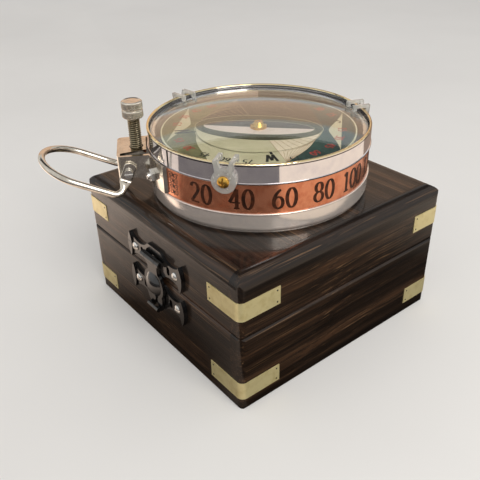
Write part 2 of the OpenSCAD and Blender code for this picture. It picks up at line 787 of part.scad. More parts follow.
// Plan of the bent sheet: web, two cheeks, and two flanges that follow the case
module bracket_plan() {
    difference() {
        translate([case_r - 3, -channel_w / 2]) square([web_out - case_r + 3, channel_w]);
        translate([0, -channel_in]) square([web_out - sheet_t, 2 * channel_in]);
        circle(copper_r, $fn = 128);
        for (s = [0, 1]) mirror([0, s]) translate([web_out, channel_w / 2]) corner_waste(bend_r);
    }
    intersection() {
        difference() {
            circle(copper_r + sheet_t, $fn = 128);
            circle(copper_r, $fn = 128);
            translate([0, -channel_in]) square([case_r + 5, 2 * channel_in]);
        }
        translate([0, -flange_edge]) square([case_r + 5, 2 * flange_edge]);
    }
}

// Plan of the flap over the channel, which stops short of the near cheek
module bracket_flap() {
    edge = channel_in - flap_open;
    inner_x = case_r + flap_gap;
    outer_x = web_out - sheet_t / 2;
    polygon([[inner_x, -channel_w / 2 + sheet_t / 2], [outer_x, -channel_w / 2 + sheet_t / 2],
             [outer_x, edge + flap_taper], [inner_x, edge]]);
}

module bracket() {
    arch_x = (copper_r + web_out) / 2;
    color("#c4c0b8") rotate(bracket_az) difference() {
        union() {
            translate([0, 0, bracket_z]) linear_extrude(bracket_h) bracket_plan();
            translate([0, 0, bracket_top - sheet_t]) linear_extrude(sheet_t) bracket_flap();
        }
        translate([screw_x, 0, bracket_z]) cylinder(r = thread_r + flap_hole_gap, h = bracket_h + 1);
        translate([arch_x, channel_w, bracket_z + arch_h - arch_r]) rotate([90, 0, 0])
            cylinder(r = arch_r, h = 2 * channel_w);
        for (s = [-1, 1]) rotate(s * bolt_swing) translate([case_r - 3, 0, bolt_z]) rotate([0, 90, 0])
            cylinder(r = bolt_r, h = 6);
        translate([pivot_x, channel_w, pivot_z]) rotate([90, 0, 0])
            cylinder(r = loop_screw_r, h = 2 * channel_w);
    }
}

// Bolts from inside the pan, with their heads against its wall
module bracket_bolts() {
    seat = sqrt(pow(pan_inner_r, 2) - pow(bolt_head_r, 2)) - 0.02;
    start = seat - bolt_head_h;
    color("#a9a9aa") for (a = bolt_angles) rotate(a) translate([start, 0, bolt_z]) rotate([0, 90, 0]) {
        cylinder(r = bolt_head_r, h = bolt_head_h);
        cylinder(r = bolt_r, h = copper_r + sheet_t + nut_h + bolt_end - start);
    }
}

module bracket_nuts() {
    color("#b8b6b2") for (a = bolt_angles) rotate(a)
        translate([copper_r + sheet_t, 0, bolt_z]) rotate([0, 90, 0]) difference() {
            cylinder(d = nut_flats / cos(30), h = nut_h, $fn = 6);
            translate([0, 0, -1]) cylinder(r = bolt_r, h = nut_h + 2);
        }
}

// Threaded bar between the cheeks
module screw_bridge() {
    bore = thread_r + run_gap;
    color("#3b3a38") rotate(bracket_az) difference() {
        translate([screw_x - bore - bridge_wall, -channel_in, bridge_z])
            cube([2 * bore + bridge_wall + bridge_back, 2 * channel_in, bridge_h]);
        translate([screw_x, 0, bridge_z - 1]) cylinder(r = bore, h = bridge_h + 2);
    }
}

module loop_screws() {
    head_y = tab_in + tab_t + tab_gap;
    color("#cfcdc8") rotate(bracket_az) for (s = [0, 1]) mirror([0, s, 0])
        translate([pivot_x, channel_in - 1, pivot_z]) rotate([-90, 0, 0]) {
            cylinder(r = loop_screw_r, h = head_y - channel_in + 1.2);
            translate([0, 0, head_y - channel_in + 1]) difference() {
                cylinder(r = loop_head_r, h = loop_head_h);
                translate([-loop_head_r, -0.3, loop_head_h - 0.5]) cube([2 * loop_head_r, 0.6, 1]);
            }
        }
}

// One side of the loop, with the pivot at the origin and the arm along x
module loop_side() {
    arm_y = loop_w / 2;
    straight = loop_l - loop_w / 2;
    leg_y = tab_in + tab_t / 2;
    leg_h = loop_drop - tab_foot - shoulder_h / 2;
    spread = atan2(arm_y - leg_y, leg_h);
    leg_l = norm([arm_y - leg_y, leg_h]);
    difference() {
        union() {
            translate([elbow_r, arm_y, -loop_drop]) rotate([0, 90, 0])
                cylinder(r = wire_r, h = straight - elbow_r);
            translate([0, arm_y, -loop_drop]) rotate([spread, 0, 0]) {
                translate([elbow_r, 0, elbow_r]) rotate([90, 0, 0]) rotate(180)
                    rotate_extrude(angle = 90, $fn = 48) translate([elbow_r, 0]) circle(wire_r, $fn = 32);
                translate([0, 0, elbow_r]) cylinder(r = wire_r, h = leg_l - elbow_r);
                translate([0, 0, leg_l]) sphere(wire_r);
            }
            translate([0, tab_in + tab_t, 0]) rotate([90, 0, 0]) linear_extrude(tab_t) tab_outline();
        }
        rotate([-90, 0, 0]) cylinder(r = loop_screw_r + run_gap, h = loop_w);
        translate([-loop_w, 0, -loop_w]) cube([2 * loop_w, tab_in, 2 * loop_w]);
    }
}

// A flattened end of the wire: a plate with a shoulder that narrows to the leg
module tab_outline() {
    translate([-tab_w / 2, -tab_foot]) square([tab_w, tab_foot + tab_top]);
    polygon([[-tab_w / 2, -tab_foot + eps], [tab_w / 2, -tab_foot + eps],
             [wire_r, -tab_foot - shoulder_h], [-wire_r, -tab_foot - shoulder_h]]);
}

module wire_loop() {
    color("#d6d2c8") rotate(bracket_az) translate([pivot_x, 0, pivot_z]) rotate([0, -loop_angle, 0]) {
        for (s = [0, 1]) mirror([0, s, 0]) loop_side();
        translate([loop_l - loop_w / 2, 0, -loop_drop]) rotate(-90)
            rotate_extrude(angle = 180, $fn = 96) translate([loop_w / 2, 0]) circle(wire_r, $fn = 32);
    }
}

module clamp_foot() {
    color("#2f2f30") rotate(bracket_az) translate([screw_x, 0, foot_top - foot_h]) difference() {
        cylinder(r = foot_r, h = foot_h);
        translate([0, 0, foot_h - 2]) cylinder(r = tip_r + run_gap, h = 3);
    }
}

// Thumbscrew: tip in the foot, thread through the bridge, and a fluted head with a groove round it
module thumbscrew() {
    tip_z = foot_top - 2 + 0.1;
    neck_z = foot_top + 0.1;
    groove = 0.5;
    groove_z = head_z + head_h * 0.42;
    color("#d0cdc4") rotate(bracket_az) translate([screw_x, 0, 0]) difference() {
        rotate_extrude() polygon([
            [0, tip_z], [tip_r, tip_z], [tip_r, neck_z], [thread_r, neck_z + 0.6], [thread_r, head_z],
            [head_r - 0.5, head_z], [head_r, head_z + 0.5],
            [head_r, groove_z], [head_r - groove, groove_z + 0.3], [head_r - groove, groove_z + 0.6],
            [head_r, groove_z + 0.9], [head_r, head_z + head_h - 0.6], [head_r - 0.6, head_z + head_h],
            [0, head_z + head_h]]);
        for (i = [0:flute_count - 1]) rotate(i * 360 / flute_count)
            translate([head_r + flute_r / 3, 0, head_z - 1]) cylinder(r = flute_r, h = head_h + 2);
    }
}

module compass_card() {
    color("#e8e2cf") translate([0, 0, card_z]) difference() {
        cylinder(r = card_r, h = card_t, $fn = 128);
        translate([0, 0, -1]) cylinder(r = cap_r - 1, h = card_t + 2);
    }
}

module card_magnets() {
    color("#5a5c60") for (s = [-1, 1])
        translate([-magnet_l / 2, s * magnet_y - magnet_w / 2, card_z - magnet_t])
            cube([magnet_l, magnet_w, magnet_t]);
}

// Brass cap: its collar holds the card, and a cone inside takes the pivot's point
module card_cap() {
    color("#c8ab62") translate([0, 0, card_z]) difference() {
        union() {
            translate([0, 0, -1]) cylinder(r = cap_r - 1, h = card_t + 1.5);
            translate([0, 0, card_t]) cylinder(r = cap_r, h = 1);
            translate([0, 0, card_t + 1]) cylinder(r1 = cap_r - 0.6, r2 = cap_r - 2, h = cap_h - 1);
        }
        translate([0, 0, -2]) cylinder(r1 = pivot_r + 1.2, r2 = 0.4, h = card_t + 3.3);
    }
}

base_front_board();
base_back_board();
base_left_board();
base_right_board();
base_bottom_panel();
base_corner_straps();
catch_plate();
catch_screws();
hinge_base_leaves();
hinge_base_screws();
hinge_pins();
lid_front_board();
lid_back_board();
lid_left_board();
lid_right_board();
lid_top_panel();
lid_corner_straps();
hasp_plate();
hasp_screws();
hasp_pin();
hinge_lid_leaves();
hinge_lid_screws();
hasp_tongue();
case_pan();
copper_band();
bezel_ring();
dome_glass();
pivot_post();
glass_clips();
clip_screws();
bracket();
bracket_bolts();
bracket_nuts();
screw_bridge();
loop_screws();
wire_loop();
clamp_foot();
thumbscrew();
compass_card();
card_magnets();
card_cap();
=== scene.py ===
"""Looks of the box compass: a drum compass with a domed glass on its brass-bound hardwood box."""
import json
import math

import bmesh
import bpy
import numpy as np
from mathutils import Matrix, Vector


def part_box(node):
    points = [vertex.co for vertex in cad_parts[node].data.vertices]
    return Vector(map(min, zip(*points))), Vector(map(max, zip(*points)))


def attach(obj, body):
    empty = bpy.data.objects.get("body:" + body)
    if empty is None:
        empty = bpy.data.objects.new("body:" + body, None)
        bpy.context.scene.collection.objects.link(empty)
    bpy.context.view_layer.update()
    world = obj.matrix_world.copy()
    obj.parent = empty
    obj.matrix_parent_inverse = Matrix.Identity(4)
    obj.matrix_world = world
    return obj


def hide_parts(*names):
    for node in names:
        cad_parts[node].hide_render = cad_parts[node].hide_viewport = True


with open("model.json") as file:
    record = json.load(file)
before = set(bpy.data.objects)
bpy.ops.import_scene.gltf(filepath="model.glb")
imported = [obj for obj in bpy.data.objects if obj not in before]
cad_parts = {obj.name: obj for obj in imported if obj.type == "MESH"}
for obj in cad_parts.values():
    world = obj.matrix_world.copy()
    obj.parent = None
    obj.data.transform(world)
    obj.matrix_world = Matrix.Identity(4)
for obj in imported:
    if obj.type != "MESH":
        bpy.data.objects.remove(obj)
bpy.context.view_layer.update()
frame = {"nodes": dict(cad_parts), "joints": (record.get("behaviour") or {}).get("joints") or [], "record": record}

MM = 0.001
scene = bpy.context.scene


# Sizes taken from the frame, in millimetres
def corners(node):
    """Lowest and highest corner of a CAD node in millimetres."""
    low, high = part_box(node)
    return np.array(low) / MM, np.array(high) / MM


def joint(name):
    """The record's joint of that name."""
    return next(j for j in frame["joints"] if j["name"] == name)


# Camera, in the photograph's place
CAMERA_PLACE = (215.6, -181.0, 206.2)
CAMERA_AZIMUTH = 52.05
CAMERA_ELEVATION = 31.55
CAMERA_ROLL = -1.34
CAMERA_LENS = 46.35


def make_camera():
    """Looks along the azimuth, down by the elevation, and turned about its own line by the roll."""
    azimuth, elevation, roll = (math.radians(a) for a in (CAMERA_AZIMUTH, CAMERA_ELEVATION, CAMERA_ROLL))
    ahead = Vector((-math.cos(elevation) * math.sin(azimuth), math.cos(elevation) * math.cos(azimuth),
                    -math.sin(elevation)))
    right = ahead.cross(Vector((0, 0, 1))).normalized()
    up = right.cross(ahead)
    turned_right = math.cos(roll) * right + math.sin(roll) * up
    turned_up = math.cos(roll) * up - math.sin(roll) * right
    data = bpy.data.cameras.new("camera")
    data.lens = CAMERA_LENS
    data.clip_start = 0.01
    data.clip_end = 20
    camera = bpy.data.objects.new("camera", data)
    scene.collection.objects.link(camera)
    turn = Matrix((turned_right, turned_up, -ahead)).transposed()
    camera.matrix_world = Matrix.Translation(Vector(CAMERA_PLACE) * MM) @ turn.to_4x4()
    scene.camera = camera


# Node helpers
def paint(*rgb):
    """A colour given as 0 to 255 screen values, as the linear colour that nodes take."""
    share = np.array(rgb, float) / 255
    linear = np.where(share <= 0.04045, share / 12.92, ((share + 0.055) / 1.055) ** 2.4)
    return (*linear.tolist(), 1.0)


class Nodes:
    """A node tree emptied down to its output, with short calls for its nodes."""

    def __init__(self, tree, output):
        self.tree = tree
        self.tree.nodes.clear()
        self.output = self.add(output)

    def add(self, kind, sockets=None, **settings):
        """A new node; sockets maps an input's name or number to a value or to another node's output."""
        made = self.tree.nodes.new("ShaderNode" + kind)
        for key, value in settings.items():
            setattr(made, key, value)
        for key, value in (sockets or {}).items():
            self.feed(made.inputs[key], value)
        return made

    def feed(self, socket, value):
        """Links an input to another node's output, or sets its value."""
        if isinstance(value, bpy.types.NodeSocket):
            self.tree.links.new(value, socket)
        else:
            socket.default_value = value

    def show(self, shader):
        """Puts a shader on the output."""
        self.feed(self.output.inputs["Surface"], shader)

    def levels(self, value, low, high, to_low=0.0, to_high=1.0):
        """A value's run from low to high stretched to another run, and held at both ends."""
        return self.add("MapRange", {"Value": value, "From Min": low, "From Max": high, "To Min": to_low,
                                     "To Max": to_high}).outputs["Result"]

    def math(self, operation, a, b=0.0):
        """Two values under one operation."""
        return self.add("Math", {0: a, 1: b}, operation=operation).outputs[0]

    def seen_rays(self):
        """1 for rays from the camera and for those that metal or glass sends on, and 0 for soft light."""
        rays = self.add("LightPath")
        share = rays.outputs["Is Camera Ray"]
        for name in ("Is Glossy Ray", "Is Transmission Ray"):
            share = self.math("MAXIMUM", share, rays.outputs[name])
        return share


class Finish(Nodes):
    """A material of one name, whose patterns lie on Object coordinates."""

    def __init__(self, name):
        self.material = bpy.data.materials.new(name)
        self.material.use_nodes = True
        super().__init__(self.material.node_tree, "OutputMaterial")
        self.place = self.add("TexCoord").outputs["Object"]

    def noise(self, scale, detail=4.0, roughness=0.55, source=None):
        """Noise with about as many patches to the metre as its scale says."""
        return self.add("TexNoise", {"Vector": source or self.place, "Scale": scale, "Detail": detail,
                                     "Roughness": roughness}).outputs["Fac"]

    def ramp(self, value, stops):
        """A colour ramp with the stops [(position, colour), ...]."""
        made = self.add("ValToRGB", {"Fac": value})
        ramp = made.color_ramp
        while len(ramp.elements) < len(stops):
            ramp.elements.new(1.0)
        for element, (position, colour) in zip(ramp.elements, stops):
            element.position = position
            element.color = colour
        return made.outputs["Color"]

    def mix(self, share, a, b):
        """Colour a blended with colour b by the share."""
        return self.add("Mix", {0: share, 6: a, 7: b}, data_type="RGBA").outputs[2]

    def bump(self, height, distance, strength):
        """A normal that leans with a height of up to the distance in metres."""
        return self.add("Bump", {"Height": height, "Distance": distance,
                                 "Strength": strength}).outputs["Normal"]

    def surface(self, **sockets):
        """The main shader; an underscore in a name stands for a space in the socket's name."""
        made = self.add("BsdfPrincipled", {k.replace("_", " "): v for k, v in sockets.items()})
        self.show(made.outputs["BSDF"])
        return made


# Finishes
WOOD_BLACK = paint(19, 13, 10)
WOOD_DARK = paint(36, 26, 19)
WOOD_MIDDLE = paint(58, 42, 31)
WOOD_WARM = paint(84, 59, 41)
WOOD_PALE = paint(150, 116, 84)
GRAIN_SWAY = 0.0014


def wood(name, along, start):
    """Dark hardwood: broad bands and thin threads drawn out along one axis, pores, and a glossy varnish."""
    f = Finish(name)
    moved = f.add("Mapping", {"Vector": f.place, "Location": start}).outputs[0]
    wave = f.noise(9.0, 2.0, 0.5, moved)
    push = f.add("CombineXYZ")
    for axis in range(3):
        if axis != along:
            f.feed(push.inputs[axis], f.levels(wave, 0.3, 0.7, -GRAIN_SWAY, GRAIN_SWAY))
    bent = f.add("VectorMath", {0: moved, 1: push.outputs[0]}, operation="ADD").outputs[0]

    def drawn_out(across, length):
        """Coordinates for patches so many to the metre across the grain and along it."""
        scale = [across] * 3
        scale[along] = length
        return f.add("Mapping", {"Vector": bent, "Scale": scale}).outputs["Vector"]

    bands = f.noise(1.0, 2.0, 0.5, drawn_out(110.0, 2.4))
    streaks = f.noise(1.0, 4.0, 0.65, drawn_out(420.0, 7.0))
    threads = f.noise(1.0, 2.0, 0.6, drawn_out(1700.0, 22.0))
    tone = f.math("ADD", f.math("MULTIPLY", bands, 0.5), f.math("MULTIPLY", streaks, 0.5))
    colour = f.ramp(tone, [(0.39, WOOD_BLACK), (0.49, WOOD_DARK), (0.57, WOOD_MIDDLE), (0.66, WOOD_WARM)])
    lines = f.levels(threads, 0.60, 0.68)
    lines = f.math("MULTIPLY", lines, f.levels(bands, 0.42, 0.56))
    colour = f.mix(f.math("MULTIPLY", lines, 0.5), colour, WOOD_PALE)
    pores = f.levels(f.noise(1.0, 1.0, 0.5, drawn_out(2600.0, 60.0)), 0.60, 0.70)
    colour = f.mix(f.math("MULTIPLY", pores, 0.7), colour, WOOD_BLACK)
    height = f.math("SUBTRACT", f.math("MULTIPLY", streaks, 0.5), pores)
    rough = f.levels(f.noise(60.0, 4.0), 0.3, 0.7, 0.34, 0.5)
    coat = f.bump(f.noise(160.0, 2.0), 0.00003, 0.3)
    f.surface(Base_Color=colour, Roughness=rough, Specular_IOR_Level=0.12, Coat_Weight=0.5,
              Coat_Roughness=0.1, Normal=f.bump(height, 0.00008, 0.6), Coat_Normal=coat)
    return f.material


def metal(name, colour, rough_low, rough_high, worn, metallic=1.0):
    """Plain metal: slightly uneven roughness, patches of a worn shade, and a fine grain."""
    f = Finish(name)
    rough = f.levels(f.noise(90.0, 5.0), 0.32, 0.68, rough_low, rough_high)
    shade = f.mix(f.levels(f.noise(240.0, 5.0), 0.45, 0.75), colour, worn)
    grain = f.noise(900.0, 3.0, 0.6)
    f.surface(Base_Color=shade, Metallic=metallic, Roughness=rough, Normal=f.bump(grain, 0.000004, 0.6))
    return f.material


def enamel():
    """Glossy black enamel on brass, with a slight orange peel."""
    f = Finish("black_enamel")
    shade = f.mix(f.levels(f.noise(300.0), 0.4, 0.7), paint(7, 7, 8), paint(15, 15, 16))
    rough = f.levels(f.noise(120.0), 0.3, 0.7, 0.16, 0.28)
    f.surface(Base_Color=shade, Roughness=rough, Coat_Weight=0.7, Coat_Roughness=0.05,
              Normal=f.bump(f.noise(700.0, 2.0), 0.00002, 0.4))
    return f.material


def glass():
    """Thick clear glass that lets light through to the card."""
    f = Finish("glass")
    smear = f.levels(f.noise(60.0, 5.0, 0.6), 0.45, 0.75, 0.0, 0.035)
    shader = f.surface(Base_Color=(0.93, 0.97, 0.95, 1.0), Roughness=smear, Transmission_Weight=1.0,
                       IOR=1.5)
    clear = f.add("BsdfTransparent", {"Color": (0.9, 0.93, 0.91, 1.0)})
    shadow = f.add("LightPath").outputs["Is Shadow Ray"]
    f.show(f.add("MixShader", {0: shadow, 1: shader.outputs[0], 2: clear.outputs[0]}).outputs[0])
    return f.material


def clear_plastic():
    """Clear moulded plastic, a little milky."""
    f = Finish("clear_plastic")
    cloud = f.noise(400.0, 3.0)
    f.surface(Base_Color=(0.80, 0.79, 0.75, 1.0), Roughness=f.levels(cloud, 0.35, 0.7, 0.16, 0.3),
              Transmission_Weight=0.6, IOR=1.46, Normal=f.bump(cloud, 0.00002, 0.3))
    return f.material


def card_paper():
    """Matt cream card."""
    f = Finish("card")
    fibre = f.noise(1600.0)
    shade = f.mix(f.levels(f.noise(55.0), 0.4, 0.7), paint(224, 214, 188), paint(206, 196, 160))
    f.surface(Base_Color=shade, Roughness=f.levels(fibre, 0.3, 0.7, 0.6, 0.75),
              Normal=f.bump(fibre, 0.00002, 0.3))
    return f.material


# Dark lines of the upper chrome band, the one under the lip being painted shade:
# how far under its top and over its foot, and half their width
LIP_LINE = 1.1
LIP_LINE_HALF = 0.22
FOOT_LINE = 0.5
FOOT_LINE_HALF = 0.16


def drum_chrome():
    """Bright chrome of the upper band, with a dark line of painted shade under its lip and a dark line over the
    copper.
    """
    f = Finish("drum_chrome")
    height = f.add("SeparateXYZ", {0: f.place}).outputs[2]
    shade = f.mix(f.levels(f.noise(150.0, 4.0), 0.4, 0.7), paint(240, 234, 234), paint(228, 222, 226))
    low, high = corners("bezel_ring")
    # The line under the lip is painted shade; the other, over the copper, is a dark line
    for line_z, half in ((high[2] - LIP_LINE, LIP_LINE_HALF), (low[2] + FOOT_LINE, FOOT_LINE_HALF)):
        away = f.math("ABSOLUTE", f.math("SUBTRACT", height, line_z * MM))
        shade = f.mix(f.levels(away, half * MM * 1.4, half * MM * 0.7), shade, paint(60, 50, 44))
    lip = f.levels(height, (high[2] - LIP_LINE * 0.7) * MM, (high[2] - LIP_LINE * 0.4) * MM)
    shade = f.mix(lip, shade, paint(236, 216, 170))
    rough = f.levels(f.noise(90.0, 5.0), 0.3, 0.7, 0.04, 0.09)
    f.surface(Base_Color=shade, Metallic=0.9, Roughness=rough,
              Normal=f.bump(f.noise(30.0, 2.0), 0.00002, 0.12))
    return f.material


FINISHES = {
    "strap_brass": metal("strap_brass", paint(234, 219, 164), 0.3, 0.44, paint(214, 196, 136),
                         metallic=0.35),
    "black_enamel": enamel(),
    "screw_steel": metal("screw_steel", paint(232, 230, 226), 0.14, 0.26, paint(196, 194, 188)),
    "hinge_brass": metal("hinge_brass", paint(214, 184, 116), 0.26, 0.4, paint(180, 142, 80)),
    "chrome": metal("chrome", paint(244, 232, 222), 0.12, 0.2, paint(232, 222, 216), metallic=0.62),
    "copper": metal("copper", paint(224, 146, 110), 0.14, 0.28, paint(192, 108, 74), metallic=0.8),
    "glass": glass(),
    "pivot_brass": metal("pivot_brass", paint(222, 176, 86), 0.18, 0.3, paint(190, 138, 60)),
    "clear_plastic": clear_plastic(),
    "nickel": metal("nickel", paint(222, 215, 203), 0.1, 0.22, paint(188, 180, 166)),
    "dark_steel": metal("dark_steel", paint(62, 60, 58), 0.3, 0.5, paint(38, 36, 34)),
    "card": card_paper(),
}
OWN_FINISHES = {"bezel_ring": drum_chrome()}
WOODS = [wood("wood_" + letter, axis, (0.13 * axis, 0.07 * axis, 0.031 * axis))
         for axis, letter in enumerate("xyz")]
BOARD_GRAIN = {"front": 0, "back": 0, "left": 1, "right": 1, "bottom": 0, "top": 0}


def dress_nodes():
    """Every CAD node gets the finish of its slot, and each board the wood with its own grain."""
    for row in frame["record"]["subparts"]:
        node = frame["nodes"][row["node"]]
        if row["material_slot"] == "wood":
            finish = WOODS[BOARD_GRAIN[row["node"].split("_")[1]]]
        else:
            finish = OWN_FINISHES.get(row["node"], FINISHES[row["material_slot"]])
        node.data.materials.clear()
        node.data.materials.append(finish)


# Surfaces from grids of points, in millimetres
def patch(points):
    """A grid of points, rows by columns by three, as corners and faces; its last column joins its first."""
    rows, columns = points.shape[:2]
    i = np.arange(rows - 1)[:, None] * columns
    j = np.arange(columns)[None, :]
    beside = (j + 1) % columns
    faces = np.stack([i + j, i + beside, i + columns + beside, i + columns + j], -1)
    return points.reshape(-1, 3), faces.reshape(-1, 4)


def capped(rings):
    """A stack of rings, closed at both ends by their middle points."""
    ends = [np.broadcast_to(rings[k].mean(0), rings[k].shape)[None] for k in (0, -1)]
    return np.concatenate([ends[0], rings, ends[1]])


def make_piece(name, patches, finish, body, replaced=(), sharp=38.0):
    """Patches joined to one mesh: doubles merged, faces outwards, edges over the angle kept sharp."""
    corner_sets, face_sets, count = [], [], 0
    for corner_set, face_set in patches:
        corner_sets.append(corner_set)
        face_sets.append(face_set + count)
        count += len(corner_set)
    mesh = bpy.data.meshes.new(name)
    mesh.from_pydata((np.concatenate(corner_sets) * MM).tolist(), [], np.concatenate(face_sets).tolist())
    shape = bmesh.new()
    shape.from_mesh(mesh)
    bmesh.ops.remove_doubles(shape, verts=shape.verts, dist=1e-7)
    bmesh.ops.recalc_face_normals(shape, faces=shape.faces)
    shape.to_mesh(mesh)
    shape.free()
    mesh.shade_smooth()
    mesh.set_sharp_from_angle(angle=math.radians(sharp))
    mesh.materials.append(finish)
    piece = bpy.data.objects.new(name, mesh)
    scene.collection.objects.link(piece)
    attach(piece, body)
    if replaced:
        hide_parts(*replaced)


def arc(x, y, rx, ry, start, end, count):
    """Points of an ellipse's arc between two angles in degrees."""
    t = np.radians(np.linspace(start, end, count))
    return np.stack([x + rx * np.cos(t), y + ry * np.sin(t)], -1)


def rounded(points, radius, count):
    """A polyline with each corner replaced by an arc of the radius, which stays within its two sides."""
    points = np.asarray(points, float)
    radius = np.broadcast_to(radius, len(points))
    made = []
    for i, p in enumerate(points):
        if i in (0, len(points) - 1) or radius[i] == 0:
            made.append(p[None])
            continue
        before, after = points[i - 1] - p, points[i + 1] - p
        lengths = np.linalg.norm(before), np.linalg.norm(after)
        before, after = before / lengths[0], after / lengths[1]
        half = math.acos(np.clip(before @ after, -1, 1)) / 2
        reach = min(radius[i] / math.tan(half), 0.49 * min(lengths))
        t = np.linspace(0, 1, count)[:, None]
        start, end = p + before * reach, p + after * reach
        weight = math.sin(half)
        bezier = (1 - t) ** 2 * start + 2 * weight * t * (1 - t) * p + t ** 2 * end
        made.append(bezier / ((1 - t) ** 2 + 2 * weight * t * (1 - t) + t ** 2))
    return np.concatenate(made)


def about_axis(r, angle, z):
    """Points at the distances r from the z axis, at the angles in radians and at the heights z."""
    r, angle, z = np.broadcast_arrays(r, angle, z)
    return np.stack([r * np.cos(angle), r * np.sin(angle), z], -1)


def turned(profile, count):
    """A profile of (distance from the axis, height) turned about the z axis."""
    profile = np.asarray(profile, float)
    t = np.linspace(0, 2 * np.pi, count, endpoint=False)
    return patch(about_axis(profile[:, :1], t, profile[:, 1:]))


def placed(made, matrix):
    """A patch moved by a 4 by 4 matrix in millimetres."""
    corner_set, face_set = made
    m = np.array(matrix)
    return corner_set @ m[:3, :3].T + m[:3, 3], face_set


def turn_z(degrees):
    """A turn about the z axis."""
    return Matrix.Rotation(math.radians(degrees), 4, "Z")


def shift(x, y, z):
    """A move along the three axes."""
    return Matrix.Translation((x, y, z))


# A z axis laid along +X, for what stands out of a side
FACING_OUT = Matrix.Rotation(math.radians(90), 4, "Y")


def carried(path, sections, over):
    """Sections carried along a path: their x lies across the path, and their y along the vector over."""
    path = np.asarray(path, float)
    ahead = np.gradient(path, axis=0)
    ahead /= np.linalg.norm(ahead, axis=1, keepdims=True)
    over = np.broadcast_to(np.asarray(over, float), path.shape)
    across = np.cross(ahead, over)
    across /= np.linalg.norm(across, axis=1, keepdims=True)
    over = np.cross(across, ahead)
    x, y = sections[..., 0:1], sections[..., 1:2]
    return patch(capped(path[:, None] + x * across[:, None] + y * over[:, None]))


def oval(width, height, count, power):
    """Superellipse sections, one for each width and height: |x|^power + |y|^power is constant."""
    t = np.linspace(0, 2 * np.pi, count, endpoint=False)
    c, s = np.cos(t), np.sin(t)
    power = np.asarray(power, float)
    shrink = 2.0 / np.atleast_1d(power)[:, None]
    x = np.sign(c) * np.abs(c) ** shrink
    y = np.sign(s) * np.abs(s) ** shrink
    width, height = np.atleast_1d(width)[:, None], np.atleast_1d(height)[:, None]
    return np.stack(np.broadcast_arrays(width / 2 * x, height / 2 * y), -1)


# Figures and letters drawn with a broad pen: a stroke's half width along its normal n is the root of
# (broad nx)^2 + (fine ny)^2, so upright strokes are wide and level ones are thin
def stroke(points, broad, fine):
    """Left and right edge of one pen stroke along a flat line of points."""
    points = np.asarray(points, float)
    ahead = np.gradient(points, axis=0)
    ahead /= np.linalg.norm(ahead, axis=1, keepdims=True)
    normal = np.stack([-ahead[:, 1], ahead[:, 0]], -1)
    half = np.hypot(broad * normal[:, 0], fine * normal[:, 1])[:, None]
    return points + normal * half, points - normal * half


def line(start, end, count=5):
    """Points of a straight stroke."""
    start, end = np.array(start, float), np.array(end, float)
    return start + np.linspace(0, 1, count)[:, None] * (end - start)


def pen_strokes():
    """Each figure and letter as its strokes, one unit high."""
    six = [arc(0.3, 0.3, 0.25, 0.3, 0, 360, 28), arc(0.62, 0.3, 0.57, 0.7, 180, 108, 14)]
    return {
        "0": [arc(0.3, 0.5, 0.26, 0.5, 0, 360, 32)],
        "1": [line((0.32, 0.0), (0.32, 1.0)), line((0.12, 0.84), (0.32, 1.0)), line((0.12, 0), (0.52, 0))],
        "2": [arc(0.29, 0.72, 0.24, 0.28, 165, -38, 18), line((0.48, 0.55), (0.06, 0.0), count=8),
              line((0.04, 0.0), (0.56, 0.0))],
        "3": [arc(0.28, 0.75, 0.22, 0.25, 150, -90, 18), arc(0.28, 0.26, 0.26, 0.26, 90, -150, 20)],
        "4": [line((0.42, 0.0), (0.42, 1.0)), line((0.42, 1.0), (0.02, 0.3)), line((0.02, 0.3), (0.6, 0.3)),
              line((0.26, 0.0), (0.58, 0.0))],
        "5": [line((0.5, 1.0), (0.14, 1.0)), line((0.14, 1.0), (0.1, 0.55)),
              arc(0.28, 0.31, 0.25, 0.31, 130, -140, 20)],
        "6": six,
        "7": [line((0.04, 1.0), (0.56, 1.0)), line((0.56, 1.0), (0.2, 0.0))],
        "8": [arc(0.3, 0.26, 0.26, 0.26, 0, 360, 26), arc(0.3, 0.76, 0.21, 0.24, 0, 360, 24)],
        "9": [np.array([0.6, 1.0]) - six[0], np.array([0.6, 1.0]) - six[1]],
        "N": [line((0.08, 0), (0.08, 1)), line((0.08, 1), (0.6, 0)), line((0.6, 0), (0.6, 1))],
        "E": [line((0.1, 0), (0.1, 1)), line((0.1, 1), (0.55, 1)), line((0.1, 0.5), (0.45, 0.5)),
              line((0.1, 0), (0.55, 0))],
        "S": [arc(0.3, 0.74, 0.24, 0.26, 20, 270, 18), arc(0.3, 0.25, 0.26, 0.25, 90, -160, 18)],
        "W": [line((0.0, 1), (0.2, 0)), line((0.2, 0), (0.38, 0.85)), line((0.38, 0.85), (0.56, 0)),
              line((0.56, 0), (0.78, 1))],
    }


STROKES = pen_strokes()

# Shares of a figure's height: half widths of the pen, the unit of width, and a figure's and a W's middle
PEN_BROAD = 0.088
PEN_FINE = 0.04
WIDTH_UNIT = 0.86
MIDDLE_X = 0.3
WIDE_MIDDLE_X = 0.39


def pen_band(points, broad, fine, lay):
    """One pen stroke as a thin closed band, whose edges lie a level over and a level under its surface."""
    left, right = stroke(points, broad, fine)
    edges = ((left, 1.0), (right, 1.0), (right, -1.0), (left, -1.0))
    return patch(capped(np.stack([lay(edge, level) for edge, level in edges], 1)))


def written(text, height, pitch, lay):
    """Patches of a text centred on the origin; lay turns flat points and a level into places."""
    made = []
    start = -pitch * height * (len(text) - 1) / 2
    for i, letter in enumerate(text):
        centre = np.array([WIDE_MIDDLE_X if letter == "W" else MIDDLE_X, 0.5])
        offset = np.array([start + i * pitch * height, 0.0])
        for points in STROKES[letter]:
            flat = (points - centre) * (WIDTH_UNIT * height, height) + offset
            made.append(pen_band(flat, PEN_BROAD * height, PEN_FINE * height, lay))
    return made


